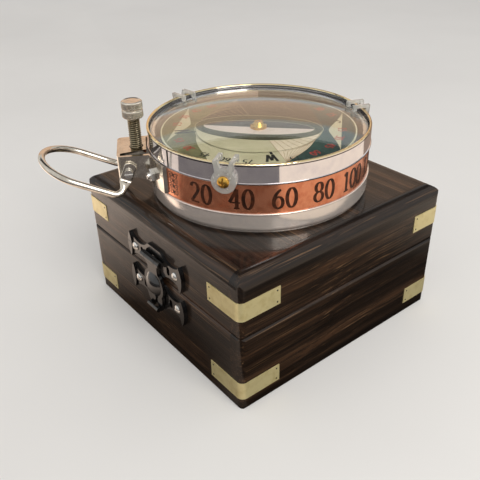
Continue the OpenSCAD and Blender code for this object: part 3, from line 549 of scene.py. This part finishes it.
# Domed glass: an even shell between two spheres about one centre
GLASS_THICKNESS = 2.9
GLASS_UNDER_LIP = 2.2
GLASS_EDGE_EASE = 0.5
GLASS_EDGE_IN = 0.25
GLASS_EDGE_DIP = 0.02
GLASS_STEPS = 28


def make_dome():
    """Two arcs about one centre, turned about z: the outer radius is (edge^2 + rise^2) / (2 rise)."""
    edge_radius, _, top = corners("dome_glass")[1]
    edge_top = corners("bezel_ring")[1][2] - GLASS_UNDER_LIP
    rise = top - edge_top
    ball = (edge_radius ** 2 + rise ** 2) / (2 * rise)

    def cap(radius, lean):
        """Points of the arc of a radius at the leans from upright."""
        return np.stack([radius * np.sin(lean), top - ball + radius * np.cos(lean)], -1)

    thin = ball - GLASS_THICKNESS
    outer = cap(ball, np.linspace(0, math.asin(edge_radius / ball), GLASS_STEPS))
    inner = cap(thin, np.linspace(math.asin(edge_radius / thin), 0, GLASS_STEPS))
    outer[0, 0] = inner[-1, 0] = 0.0
    outer[-1] -= (GLASS_EDGE_IN, GLASS_EDGE_DIP)
    inner[0] += (-GLASS_EDGE_IN, GLASS_EDGE_DIP)
    rim_z = np.array([edge_top - GLASS_EDGE_EASE, inner[0, 1] + GLASS_EDGE_EASE])
    rim = np.stack([np.full(2, edge_radius), rim_z], -1)
    shell = turned(np.concatenate([outer, rim, inner]), 160)
    make_piece("domed_glass", [shell], FINISHES["glass"], "case", ["dome_glass"], sharp=50.0)


# Copper band: numbers of degrees etched round it, with a small scroll at the start
BAND_DIGIT = 9.0
BAND_PITCH = 0.64
BAND_CLOSE_PITCH = 0.585
BAND_STEP = 20
BAND_FIRST = -68.0
BRACKET_CLEAR = 24.0
SCROLL_AZIMUTH = -85.0
SCROLL_MARGIN = 1.2
SCROLL_CURLS = 4
SCROLL_WIDTH = 7.0
STEM_PEN = 0.2
CURL_PEN = 0.24
CURL_TURNS = 1.4
CURL_LEAST = 0.1
CURL_OFFSET = 1.05
ETCH = 0.05


def etch():
    """Dark etched brown of the marks on the copper."""
    f = Finish("etched_marks")
    shade = f.mix(f.levels(f.noise(500.0), 0.4, 0.65), paint(52, 30, 20), paint(96, 52, 32))
    f.surface(Base_Color=shade, Metallic=0.6, Roughness=0.42)
    return f.material


def on_drum(radius, azimuth, height):
    """Lays flat points on the drum's side: x along it, y upwards, level outwards."""
    def lay(points, level):
        """The angle grows by x over the radius, and the distance from the axis by the level."""
        angle = math.radians(azimuth) + points[:, 0] / radius
        return about_axis(radius + ETCH * level, angle, height + points[:, 1])
    return lay


def scroll(height, lay):
    """A stem with pairs of curls: a curl is a spiral whose radius grows evenly with its angle."""
    turn = np.linspace(0, CURL_TURNS * 2 * np.pi, 40)
    grow = CURL_LEAST + (1 - CURL_LEAST) * turn / turn[-1]
    step = height / SCROLL_CURLS
    made = [pen_band(line((0, -height / 2), (0, height / 2), 12), STEM_PEN, STEM_PEN, lay)]
    for k in range(SCROLL_CURLS):
        rise = (k + 0.5) * step - height / 2 + step / 2 * grow * np.sin(turn)
        for side in (1, -1):
            out = side * SCROLL_WIDTH / 4 * (CURL_OFFSET - grow * np.cos(turn))
            made.append(pen_band(np.stack([out, rise], -1), CURL_PEN, STEM_PEN, lay))
    return made


def make_band_numbers():
    """The scroll, and numbers at even steps of azimuth, apart from where the bracket stands."""
    low, high = corners("copper_band")
    radius, middle = high[0], (low[2] + high[2]) / 2
    marks = scroll(high[2] - low[2] - 2 * SCROLL_MARGIN, on_drum(radius, SCROLL_AZIMUTH, middle))
    for k in range(1, 360 // BAND_STEP):
        azimuth = BAND_FIRST + (k - 1) * BAND_STEP
        if abs((azimuth - bracket_turn() + 180) % 360 - 180) < BRACKET_CLEAR:
            continue
        number = str(k * BAND_STEP)
        pitch = BAND_PITCH if len(number) < 3 else BAND_CLOSE_PITCH
        marks += written(number, BAND_DIGIT, pitch, on_drum(radius, azimuth, middle))
    make_piece("band_numbers", marks, etch(), "case")


# Join in the upper chrome band: a narrow strip that covers its butted ends
SEAM_AZIMUTH = -87.8
SEAM_WIDTH = 0.9
SEAM_DEPTH = 0.34
SEAM_POWER = 2.6
SEAM_PROUD = 0.35
SEAM_OVER_FOOT = 0.6
SEAM_UNDER_TOP = 1.3


def make_band_seam():
    """A strip whose section is a flat oval, carried up the drum's side."""
    low, high = corners("bezel_ring")
    radius = corners("copper_band")[1][0] + SEAM_PROUD
    z = np.linspace(low[2] + SEAM_OVER_FOOT, high[2] - SEAM_UNDER_TOP, 12)
    path = np.stack([np.full(12, radius), np.zeros(12), z], -1)
    strip = carried(path, oval(SEAM_WIDTH, SEAM_DEPTH, 14, SEAM_POWER), (1.0, 0.0, 0.0))
    strip = placed(strip, turn_z(SEAM_AZIMUTH))
    make_piece("band_seam", [strip], FINISHES["dark_steel"], "case")


# Pins that hold the brass straps, two near the end of each leg; one corner's legs are longer
PIN_RADIUS = 0.42
PIN_PROUD = 0.12
PIN_DEPTH = 0.3
PIN_IN = 1.7
PIN_SIDE = 2.9
STRAP_LEG = 18.5
STRAP_LONG = 21.5
FRONT_RIGHT = 3


def make_strap_pins():
    """Each pin is a low dome turned about its own axis and laid on the strap's face."""
    shape = turned([(0, -PIN_DEPTH), (PIN_RADIUS, -PIN_DEPTH), (PIN_RADIUS, PIN_PROUD * 0.3),
                    (PIN_RADIUS * 0.7, PIN_PROUD), (0, PIN_PROUD)], 14)
    for body in ("base", "lid"):
        low, high = corners(body + "_corner_straps")
        middle = (low[2] + high[2]) / 2
        box_half = corners(body + "_right_board")[1][0]
        pins = []
        for corner in range(4):
            leg = STRAP_LONG if corner == FRONT_RIGHT else STRAP_LEG
            for face, end in ((corner, 1), (corner + 1, -1)):
                for rise in (-PIN_SIDE, PIN_SIDE):
                    place = shift(high[0], end * (box_half - leg + PIN_IN), middle + rise)
                    pins.append(placed(shape, turn_z(90 * face) @ place @ FACING_OUT))
        make_piece(body + "_strap_pins", pins, FINISHES["dark_steel"], body)


# Printed card: a cream disc whose two broad petals reach the rim, two narrow petals between them on teal and olive
# fields, a dark oval band round a pale middle, and plain figures; each ink is a thin layer. The far half of the
# disc, the far broad petal and the far half of the middle are printed dark instead: that dark ink is painted shade
PETAL_AZIMUTH = -47.5
FIELD_RADIUS = 45.8
DISC_RADIUS = 30.5
DISC_START = 3.0
PETAL_OVERLAP = 0.3
NARROW_START = 33.2
NARROW_HALF = 31.0
NARROW_POWER = 0.62
BROAD_HALF = 22.0
BROAD_SPREAD = 42.0
HUB = (30.6, 15.8)
MEDALLION = (26.4, 8.6)
CENTRE_POINT = (0.01, 0.01)
HATCH_FROM = 24.0
HATCH_TO = 86.0
HATCH_LINES = 10
HATCH_PEN = 0.1
RING_WIDTH = 0.22
RING_RADII = (FIELD_RADIUS - 0.5, DISC_RADIUS - 0.6)
LETTER_AZIMUTH = -31.5
LETTER_RADIUS = 36.4
LETTER_HEIGHT = 7.0
LETTER_PITCH = 0.8
FIGURE_RADIUS = 39.6
FIGURE_HEIGHT = 3.808
FIGURE_PITCH = 0.66
FIGURE_STEP = 15
RED_FROM = 40
TICK_RADII = (32.6, 31.2, 29.8)
TICK_TURN = 1.5
TICK_PEN = 0.62

# Thickness of a sheet, half that of a figure, and each layer's height over the card, in steps of ink
INK_STEP = 0.02
SHEET_STEPS = 0.9
FIGURE_HALF_STEPS = 0.4
NEAR_PETAL = 0.6
FIELDS = 1
FAR_PETAL = 1.6
NARROW_PETAL = 2
SHADE = 2.4
HATCHING = 3.4
HUB_BAND = 4
FIGURES = 4
PRINT = 4.4
MIDDLE = 5
OUTLINE = 5.6


def ink(name, colour, second=None):
    """Matt printing ink, mottled between two close shades."""
    f = Finish("ink_" + name)
    fibre = f.noise(1600.0)
    shade = f.mix(f.levels(f.noise(90.0), 0.4, 0.7), colour, second or colour)
    rough = f.levels(fibre, 0.3, 0.7, 0.55, 0.7)
    f.surface(Base_Color=shade, Roughness=rough, Normal=f.bump(fibre, 0.00002, 0.3))
    return f.material


INKS = {
    "cream": ink("cream", paint(206, 192, 162), paint(192, 180, 146)),
    "teal": ink("teal", paint(14, 46, 44), paint(36, 68, 62)),
    "olive": ink("olive", paint(92, 88, 56), paint(128, 120, 80)),
    # The dark ink of the card's far half is painted shade, as if that half lay in shadow under the dome
    "far_painted_shade": ink("far_painted_shade", paint(78, 62, 50), paint(60, 50, 42)),
    "moss": ink("moss", paint(62, 60, 40), paint(84, 80, 52)),
    "black": ink("black", paint(18, 16, 16)),
    "red": ink("red", paint(176, 30, 28), paint(188, 54, 44)),
    "blush": ink("blush", paint(224, 200, 190), paint(212, 188, 176)),
    "shade": ink("shade", paint(230, 208, 184)),
    "hatch": ink("hatch", paint(170, 138, 108)),
}


def sheet_over(flat, level):
    """A thin sheet on the card over a grid of flat points, level steps of ink above it."""
    top = corners("compass_card")[1][2]
    upper = np.concatenate([flat, np.full(flat.shape[:2] + (1,), top + INK_STEP * level)], -1)
    lower = upper[:, ::-1] - (0, 0, INK_STEP * SHEET_STEPS)
    return patch(np.concatenate([upper, lower], 1))


def layer(left, right, level, count=24):
    """A sheet between two edges of as many points: each row runs straight from left to right."""
    t = np.linspace(0, 1, count)[None, :, None]
    return sheet_over(left[:, None] * (1 - t) + right[:, None] * t, level)


def sector(r0, r1, start, end, level, count=97):
    """Part of a ring between two radii and two angles in degrees."""
    return layer(arc(0, 0, r0, r0, start, end, count), arc(0, 0, r1, r1, start, end, count), level, 3)


def polar(r, azimuth):
    """Flat points at the radii r and the azimuths in degrees."""
    angle = np.radians(azimuth)
    return np.stack([r * np.cos(angle), r * np.sin(angle)], -1)


def broad_half(r):
    """Half angle of a broad petal: as a parabola, it grows by the spread from the rim to the disc."""
    share = np.clip((FIELD_RADIUS - r) / (FIELD_RADIUS - DISC_RADIUS), 0, 1)
    return BROAD_HALF + BROAD_SPREAD * share ** 2


def narrow_half(r):
    """Half angle of a narrow petal: a power of the way from its point, where it is nothing, to the rim."""
    share = np.clip((r - NARROW_START) / (FIELD_RADIUS - NARROW_START), 0, 1)
    return NARROW_HALF * share ** NARROW_POWER


def on_card(radius, azimuth, level):
    """Lays flat points on the card with their feet towards the middle."""
    top = corners("compass_card")[1][2]

    def lay(points, side):
        """Its y runs outwards along the azimuth, and its x across it."""
        t = math.radians(azimuth)
        out, along = np.array([math.cos(t), math.sin(t)]), np.array([math.sin(t), -math.cos(t)])
        flat = out * (radius + points[:, 1:2]) + along * points[:, 0:1]
        z = top + INK_STEP * (level + FIGURE_HALF_STEPS * side)
        return np.concatenate([flat, np.full((len(flat), 1), z)], -1)
    return lay


def hub_ring(inner, outer, start, end, level, count=60):
    """Part of a band between two ellipses whose long axes lie across the broad petals."""
    turn = math.radians(PETAL_AZIMUTH + 90)
    across = np.array([[math.cos(turn), math.sin(turn)], [-math.sin(turn), math.cos(turn)]])
    edges = [arc(0, 0, *size, start, end, count) @ across for size in (inner, outer)]
    return layer(*edges, level, 4)


def grid_sheet(r, azimuth, level):
    """A sheet over a grid of radii and azimuths."""
    return sheet_over(polar(*np.broadcast_arrays(r, azimuth)), level)


def broad_petal(turn, level):
    """A broad petal from the disc's edge to the rim, between its two half angles."""
    r = np.linspace(DISC_RADIUS - PETAL_OVERLAP, FIELD_RADIUS, 26)[:, None]
    share = np.linspace(-1, 1, 40)[None, :]
    return grid_sheet(r, PETAL_AZIMUTH + turn + broad_half(r) * share, level)


def field_sheet(side):
    """The field between the two broad petals on one side, along curves that follow the petals' edges."""
    r = np.linspace(DISC_RADIUS, FIELD_RADIUS, 26)[:, None]
    share = np.linspace(0, 1, 48)[None, :]
    half = broad_half(r)
    return grid_sheet(r, PETAL_AZIMUTH + side * (half + (180 - 2 * half) * share), FIELDS)


def print_on_card(name, patches, colour):
    """A piece of the card's print, in one ink."""
    make_piece(name, patches, INKS[colour], "card")


def make_petals():
    """The two fields, and over them the narrow petals, the near broad petal, and the far one dark as painted
    shade.
    """
    print_on_card("card_teal", [field_sheet(1)], "teal")
    print_on_card("card_olive", [field_sheet(-1)], "olive")
    r = np.linspace(NARROW_START, FIELD_RADIUS, 26)
    narrow = []
    for middle in (PETAL_AZIMUTH + 90, PETAL_AZIMUTH - 90):
        edges = [polar(r, middle - narrow_half(r)), polar(r, middle + narrow_half(r))]
        narrow.append(layer(*edges, NARROW_PETAL))
    near = sector(DISC_START, DISC_RADIUS, PETAL_AZIMUTH - 90, PETAL_AZIMUTH + 90, NEAR_PETAL)
    far = sector(DISC_START, DISC_RADIUS, PETAL_AZIMUTH + 90, PETAL_AZIMUTH + 270, FAR_PETAL)
    print_on_card("card_petals", [*narrow, near, broad_petal(0, NEAR_PETAL)], "cream")
    # The far broad petal and the far half of the disc are dark as painted shade
    print_on_card("card_far_petal_painted_shade", [broad_petal(180, FAR_PETAL), far], "far_painted_shade")


def make_hatching():
    """A pale wedge on the near petal, and fine lines fanned over it and over its place on the far one."""
    r = np.linspace(HUB[1], FIELD_RADIUS, 36)
    edge = np.where(r < DISC_RADIUS, HATCH_TO, broad_half(r))
    start = np.minimum(HATCH_FROM, edge - 1)
    wedge = layer(polar(r, PETAL_AZIMUTH + start), polar(r, PETAL_AZIMUTH + edge), SHADE, 12)
    lines = []
    for turn in (0, 180):
        for share in np.linspace(0.0, 0.99, HATCH_LINES):
            way = polar(r, PETAL_AZIMUTH + turn + start + share * (edge - start))
            lines.append(layer(*stroke(way, HATCH_PEN, HATCH_PEN), HATCHING, 2))
    print_on_card("card_shade", [wedge], "shade")
    print_on_card("card_hatching", lines, "hatch")


def make_hub():
    """An oval band round an oval middle that is pale on the side of the near petal and dark as painted shade
    beyond.
    """
    print_on_card("card_hub", [hub_ring(MEDALLION, HUB, 0, 360, HUB_BAND, 121)], "moss")
    print_on_card("card_medallion", [hub_ring(CENTRE_POINT, MEDALLION, -180, 0, MIDDLE)], "blush")
    # The far half of the middle is dark as painted shade
    print_on_card("card_far_medallion_painted_shade", [hub_ring(CENTRE_POINT, MEDALLION, 0, 180, MIDDLE)], "far_painted_shade")


def make_figures():
    """Four letters with a tick each, degrees from the poles between them, and thin rings and outlines."""
    letters, figures = [], []
    for k, letter in enumerate("WNES"):
        azimuth = LETTER_AZIMUTH - 90 * k
        letters += written(letter, LETTER_HEIGHT, LETTER_PITCH, on_card(LETTER_RADIUS, azimuth, FIGURES))
        tick = polar(np.array(TICK_RADII), np.full(3, azimuth + TICK_TURN))
        letters.append(layer(*stroke(tick, TICK_PEN, TICK_PEN), PRINT, 3))
    for k in range(360 // FIGURE_STEP):
        if k * FIGURE_STEP % 90 == 0:
            continue
        azimuth = LETTER_AZIMUTH - k * FIGURE_STEP
        from_pole = (k * FIGURE_STEP - 90) % 180
        from_petals = abs((azimuth - PETAL_AZIMUTH + 90) % 180 - 90)
        figure = written(str(min(from_pole, 180 - from_pole)), FIGURE_HEIGHT, FIGURE_PITCH,
                         on_card(FIGURE_RADIUS, azimuth, FIGURES))
        (figures if from_petals > RED_FROM else letters).extend(figure)
    rings = [sector(r, r + RING_WIDTH, 0, 360, PRINT) for r in RING_RADII]
    edges = [hub_ring(size, (size[0] + RING_WIDTH, size[1] + RING_WIDTH), 0, 360, OUTLINE, 121)
             for size in (HUB, MEDALLION)]
    print_on_card("card_letters", letters, "black")
    print_on_card("card_figures", figures, "red")
    print_on_card("card_rings", rings, "olive")
    print_on_card("card_outlines", edges, "cream")


# Thumbscrew: a threaded shank, and a head with straight knurling and a groove round it
THREAD_PITCH = 1.0
THREAD_DEPTH = 0.5
THREAD_RADIUS = 2.9
THREAD_INTO_TIP = 0.1
THREAD_INTO_HEAD = 0.2
CREST_DEPTH = 0.1
TIP_RADIUS = 1.5
TIP_CONE = 0.6
TIP_OVER_FOOT = 0.1
HEAD_HEIGHT = 8.0
HEAD_GROOVE = 0.5
GROOVE_AT = 0.42
KNURLS = 60
KNURL_DEPTH = 0.16
KNURL_BAND = 0.34
KNURL_FADE = 0.3
KNURL_POWER = 0.6


def thread_nickel(x, y):
    """Dull nickel with painted shade: darker towards the bottom of the grooves by its distance from the screw's
    axis.
    """
    f = Finish("thread_nickel")
    flat = f.add("Mapping", {"Vector": f.place, "Location": (-x * MM, -y * MM, 0), "Scale": (1, 1, 0)})
    away = f.add("VectorMath", {0: flat.outputs[0]}, operation="LENGTH").outputs["Value"]
    crest = f.levels(away, (THREAD_RADIUS - THREAD_DEPTH) * MM, (THREAD_RADIUS - CREST_DEPTH) * MM)
    # The dark colour at the roots of the thread is painted shade
    shade = f.mix(crest, paint(30, 24, 16), paint(176, 164, 136))
    f.surface(Base_Color=shade, Metallic=0.9, Roughness=f.levels(f.noise(300.0), 0.3, 0.7, 0.22, 0.36))
    return f.material


def screw_thread(start, end):
    """The radius falls to the root and rises once in each pitch of the height less its angle's share."""
    t = np.linspace(0, 2 * np.pi, 48, endpoint=False)
    z = np.arange(start, end, THREAD_PITCH / 8)
    turn = (z[:, None] - THREAD_PITCH * t[None] / (2 * np.pi)) / THREAD_PITCH
    tooth = np.abs(2 * (turn % 1) - 1)
    r = THREAD_RADIUS - THREAD_DEPTH * np.clip(1.5 * tooth - 0.25, 0, 1)
    rings = about_axis(r, t, z[:, None])
    ends = [np.broadcast_to((0.0, 0.0, z[k]), rings[k].shape)[None] for k in (0, -1)]
    return patch(np.concatenate([ends[0], rings, ends[1]]))


def knurled_head(radius, foot, top, core):
    """A turned outline with a groove and a dished top; a wave round the axis cuts its widest stretches."""
    groove = foot + HEAD_HEIGHT * GROOVE_AT
    inner = radius - HEAD_GROOVE
    outline = rounded([(0, foot), (core, foot), (radius - 0.35, foot), (radius, foot + 0.5),
                       (radius, groove), (inner, groove + 0.25), (inner, groove + 0.7),
                       (radius, groove + 0.95), (radius, top - 0.7), (radius - 0.7, top - 0.1),
                       (radius - 1.4, top - 0.35), (0, top - 0.3)], 0.25, count=4)
    t = np.linspace(0, 2 * np.pi, KNURLS * 6, endpoint=False)
    ridge = np.abs(np.sin(KNURLS / 2 * t)) ** KNURL_POWER
    near_edge = np.clip((outline[:, 0] - (radius - KNURL_BAND)) / KNURL_FADE, 0, 1)
    r = outline[:, :1] - KNURL_DEPTH * near_edge[:, None] * (1 - ridge)
    return patch(about_axis(r, t, outline[:, 1:]))


def make_thumbscrew():
    """The shank from the clamp's foot up to the head, and the head on it."""
    low, high = corners("thumbscrew")
    x, y = (low[:2] + high[:2]) / 2
    core = THREAD_RADIUS - THREAD_DEPTH
    head_foot = high[2] - HEAD_HEIGHT
    neck = corners("clamp_foot")[1][2] + TIP_OVER_FOOT
    tip = turned([(0, low[2]), (TIP_RADIUS, low[2]), (TIP_RADIUS, neck), (core, neck + TIP_CONE),
                  (0, neck + TIP_CONE)], 48)
    thread = screw_thread(neck + TIP_CONE - THREAD_INTO_TIP, head_foot + THREAD_INTO_HEAD)
    head = knurled_head((high[0] - low[0]) / 2, head_foot, high[2], core)
    move = shift(x, y, 0)
    make_piece("thumbscrew_shank", [placed(p, move) for p in (tip, thread)], thread_nickel(x, y), "screw",
               sharp=30.0)
    make_piece("knurled_thumbscrew", [placed(head, move)], FINISHES["nickel"], "screw",
               ["thumbscrew"], sharp=30.0)


# Wire loop: one round wire whose two ends are hammered into flat tabs
WIRE_RADIUS = 1.6
LOOP_WIDTH = 36.0
LOOP_LENGTH = 38.5
LOOP_DROP = 10.5
LOOP_ANGLE = 24.0
TAB_WIDTH = 5.8
TAB_THICKNESS = 1.4
TAB_TOP = 4.7
CHANNEL_HALF = 12.0
TAB_GAP = 0.25
TAB_FOOT = 1.2
TAB_RUN = 8.6
TAB_BLEND = 4.2
TAB_ROUND = 1.3
TAB_LEAST = 0.35
TAB_POWER = 4
TURN_OVER = 1.6
BEND = 3.0
ELBOW = 4.0


def bracket_turn():
    """Azimuth of the bracket round the drum in degrees."""
    pivot = joint("loop_swing")["pos_m"]
    return math.degrees(math.atan2(pivot[1], pivot[0]))


def loop_matrix():
    """From the loop's own frame, with its arms along x, to its place at rest."""
    pivot = np.array(joint("loop_swing")["pos_m"]) / MM
    return shift(*pivot) @ turn_z(bracket_turn()) @ Matrix.Rotation(math.radians(-LOOP_ANGLE), 4, "Y")


def loop_path():
    """Down one tab, round the elbow and along the arm, then a half circle, and the same way back."""
    tab_y = CHANNEL_HALF + TAB_GAP + TAB_THICKNESS / 2
    arm_y = LOOP_WIDTH / 2
    reach = LOOP_LENGTH - arm_y
    side = rounded([(0, tab_y, TAB_TOP), (0, tab_y, -TAB_WIDTH / 2 - TAB_FOOT), (0, arm_y, -LOOP_DROP),
                    (reach, arm_y, -LOOP_DROP)], (0, BEND, ELBOW, 0), count=14)
    tab = np.linspace(0, 1, 14)[1:, None] * (side[1] - side[0]) + side[0]
    half = np.concatenate([side[:1], tab, side[2:]])
    t = np.radians(np.linspace(90, -90, 60))[1:-1]
    bow = np.stack([reach + arm_y * np.cos(t), arm_y * np.sin(t), np.full(t.shape, -LOOP_DROP)], -1)
    return np.concatenate([half, bow, (half * (1, -1, 1))[::-1]])


def make_loop():
    """Oval sections carried along the path: round ones that turn flat and wide towards each end."""
    path = loop_path()
    step = np.linalg.norm(np.diff(path, axis=0), axis=1)
    run = np.concatenate([[0], np.cumsum(step)])
    run = np.minimum(run, run[-1] - run)
    flat = 1 - np.clip((run - TAB_RUN) / TAB_BLEND, 0, 1)
    flat = flat * flat * (3 - 2 * flat)
    tip = np.clip(run / TAB_ROUND, 0, 1)
    round_tip = TAB_LEAST + (1 - TAB_LEAST) * np.sqrt(1 - (1 - tip) ** 2)
    wire = 2 * WIRE_RADIUS
    width = (wire + (TAB_WIDTH - wire) * flat) * round_tip
    thick = wire + (TAB_THICKNESS - wire) * flat
    ahead = np.gradient(path, axis=0)
    ahead /= np.linalg.norm(ahead, axis=1, keepdims=True)
    share = np.clip(np.abs(ahead[:, 0]) * TURN_OVER, 0, 1)[:, None]
    over = np.array([1.0, 0.0, 0.0]) * (1 - share) + np.array([0.0, 0.0, 1.0]) * share
    loop = placed(carried(path, oval(thick, width, 24, 2 + TAB_POWER * flat), over), loop_matrix())
    make_piece("bent_loop", [loop], FINISHES["nickel"], "loop", ["wire_loop"])


# Stage and light
FLOOR_SIZE = 8.0
FLOOR_COLOUR = paint(222, 221, 219)
FLOOR_PATCHES = paint(213, 212, 210)
FLOOR_GLOW = 0.16
PALE = (0.74, 0.74, 0.73, 1.0)
SOFT_WHITE = (1.0, 0.98, 0.96, 1.0)
HORIZON = (-0.1, 0.15)
LIGHT_BELOW = 0.08
LIGHT_ABOVE = 0.62
LAMP_SIZE = 0.6
LAMP_AIM = Vector((0, 0, 0.06))


def stage_sheet(name, points, finish):
    """A flat object of one face, which diffuse rays don't see."""
    mesh = bpy.data.meshes.new(name)
    mesh.from_pydata([tuple(p) for p in points], [], [tuple(range(len(points)))])
    mesh.materials.append(finish.material)
    sheet = bpy.data.objects.new(name, mesh)
    scene.collection.objects.link(sheet)
    sheet.visible_diffuse = False
    return sheet


def make_floor():
    """A wide pale square, a little brighter to the camera, to mirrors and to glass."""
    f = Finish("floor")
    shade = f.mix(f.levels(f.noise(3.0), 0.3, 0.7), FLOOR_COLOUR, FLOOR_PATCHES)
    f.surface(Base_Color=shade, Roughness=0.9, Specular_IOR_Level=0.1, Emission_Color=FLOOR_COLOUR,
              Emission_Strength=f.math("MULTIPLY", f.seen_rays(), FLOOR_GLOW))
    half = FLOOR_SIZE / 2
    square = [(-half, -half, 0), (half, -half, 0), (half, half, 0), (-half, half, 0)]
    floor = stage_sheet("floor", square, f)


def make_world():
    """Pale to the camera and to mirrors and glass, softer as a light, and dim from below."""
    world = bpy.data.worlds.new("studio")
    scene.world = world
    world.use_nodes = True
    n = Nodes(world.node_tree, "OutputWorld")
    upwards = n.add("SeparateXYZ", {0: n.add("TexCoord").outputs["Generated"]}).outputs[2]
    strength = n.levels(upwards, *HORIZON, LIGHT_BELOW, LIGHT_ABOVE)
    soft = n.add("Background", {"Color": SOFT_WHITE, "Strength": strength})
    shown = n.add("Background", {"Color": PALE, "Strength": 1.0})
    n.show(n.add("MixShader", {0: n.seen_rays(), 1: soft.outputs[0], 2: shown.outputs[0]}).outputs[0])


def make_lamp(name, place, radiance, colour):
    """A soft square lamp of even brightness aimed at the box, given as what a mirror would show of it."""
    data = bpy.data.lights.new(name, "AREA")
    data.shape = "RECTANGLE"
    data.size = LAMP_SIZE
    data.size_y = LAMP_SIZE
    data.energy = radiance * math.pi * LAMP_SIZE ** 2
    data.color = colour
    lamp = bpy.data.objects.new(name, data)
    scene.collection.objects.link(lamp)
    lamp.location = place
    lamp.rotation_euler = (LAMP_AIM - Vector(place)).to_track_quat("-Z", "Y").to_euler()
    lamp.visible_camera = False


def make_lights():
    """A warm key lamp on the right and a faint cool one in front on the left."""
    make_lamp("key", (0.75, -0.1, 0.75), 5.0, (1.0, 0.97, 0.93))
    make_lamp("fill", (-0.5, -0.8, 0.5), 0.2, (0.94, 0.96, 1.0))


# Cards: sectors of the floor round the box that go dark near it, and upright panels behind it
NEAR_RING = 0.05
FAR_RING = 0.9
DARK_WITHIN = (0.13, 0.2)
FRONT_FADE = (0.075, 0.2)
FRONT_CARD = (-0.26, 0.08, -0.155, -0.06)
FRONT_STRENGTH = 2.4
FLAG_GLOW = 0.03
CARD_LIFT = 0.0005
GREY_FROM = -119.0
GREY_TO = -22.0
WARM_TO = 80.0
BACK_TO = 160.0
PANEL_FROM = 98.0
PANEL_SPLIT = 140.0
PANEL_TO = 186.0
PANEL_DISTANCE = 0.7
PANEL_STEP = 0.2
PANEL_TOP = 0.36
FLAG_FROM = 80.0
FLAG_TO = 204.0
FLAG_TOP = 1.26
AMBER = (1.0, 0.7, 0.5, 1.0)
BACK_AMBER = (1.0, 0.72, 0.54, 1.0)
NEAR_BLACK = (0.05, 0.048, 0.046, 1.0)


def make_card(name, points, colour, strength=1.0, near=None):
    """A card that only mirrors, varnish and glass show, as a studio flag or reflector does.

    With near, as for the cards on the floor, its glow fades between those two distances from the middle,
    and glass doesn't show it through itself."""
    f = Finish(name)
    if near:
        away = f.add("VectorMath", {0: f.place}, operation="LENGTH").outputs["Value"]
        strength = f.levels(away, *near, FLAG_GLOW, strength)
    f.show(f.add("Emission", {"Color": colour, "Strength": strength}).outputs[0])
    card = stage_sheet(name, points, f)
    card.visible_camera = False
    card.visible_shadow = False
    card.visible_transmission = near is None


def floor_sector(start, end):
    """Corners of a sector of the floor between two azimuths in degrees."""
    t = np.radians(np.linspace(start, end, 30))
    inner, outer = (about_axis(r, t, CARD_LIFT) for r in (NEAR_RING, FAR_RING))
    return np.concatenate([inner, outer[::-1]]).tolist()


def upright_panel(start, end, low, high):
    """Corners of an upright panel between two azimuths in degrees."""
    sides = [(PANEL_DISTANCE * math.cos(math.radians(a)), PANEL_DISTANCE * math.sin(math.radians(a)))
             for a in (start, end)]
    return [(*sides[0], low), (*sides[1], low), (*sides[1], high), (*sides[0], high)]


def make_cards():
    """Grey in front, warm to the right and left, a bright strip before the clasp, and amber behind."""
    make_card("grey_card", floor_sector(GREY_FROM, GREY_TO), paint(112, 107, 106), near=DARK_WITHIN)
    make_card("warm_card", floor_sector(GREY_TO, WARM_TO), paint(248, 232, 214), 1.0, DARK_WITHIN)
    make_card("left_card", floor_sector(BACK_TO - 360, GREY_FROM), paint(240, 226, 212), 0.95, DARK_WITHIN)
    left, right, front, back = FRONT_CARD
    strip = [(left, front), (right, front), (right, back), (left, back)]
    make_card("front_card", [(x, y, 2 * CARD_LIFT) for x, y in strip], paint(248, 226, 208), FRONT_STRENGTH,
              FRONT_FADE)
    make_card("back_panel_right", upright_panel(PANEL_FROM, PANEL_SPLIT, 0.0, PANEL_STEP), AMBER, 0.32)
    make_card("back_panel_left", upright_panel(PANEL_SPLIT, PANEL_TO, 0.0, PANEL_STEP), AMBER, 0.6)
    make_card("back_panel_top", upright_panel(PANEL_FROM, PANEL_TO, PANEL_STEP, PANEL_TOP), AMBER, 0.85)
    make_card("back_card", floor_sector(WARM_TO, BACK_TO), BACK_AMBER, 0.3, DARK_WITHIN)
    make_card("dark_flag", upright_panel(FLAG_FROM, FLAG_TO, PANEL_TOP, FLAG_TOP), NEAR_BLACK)


make_camera()
dress_nodes()
make_dome()
make_band_numbers()
make_band_seam()
make_strap_pins()
make_petals()
make_hatching()
make_hub()
make_figures()
make_thumbscrew()
make_loop()
make_floor()
make_world()
make_lights()
make_cards()

scene.view_settings.view_transform = "Standard"
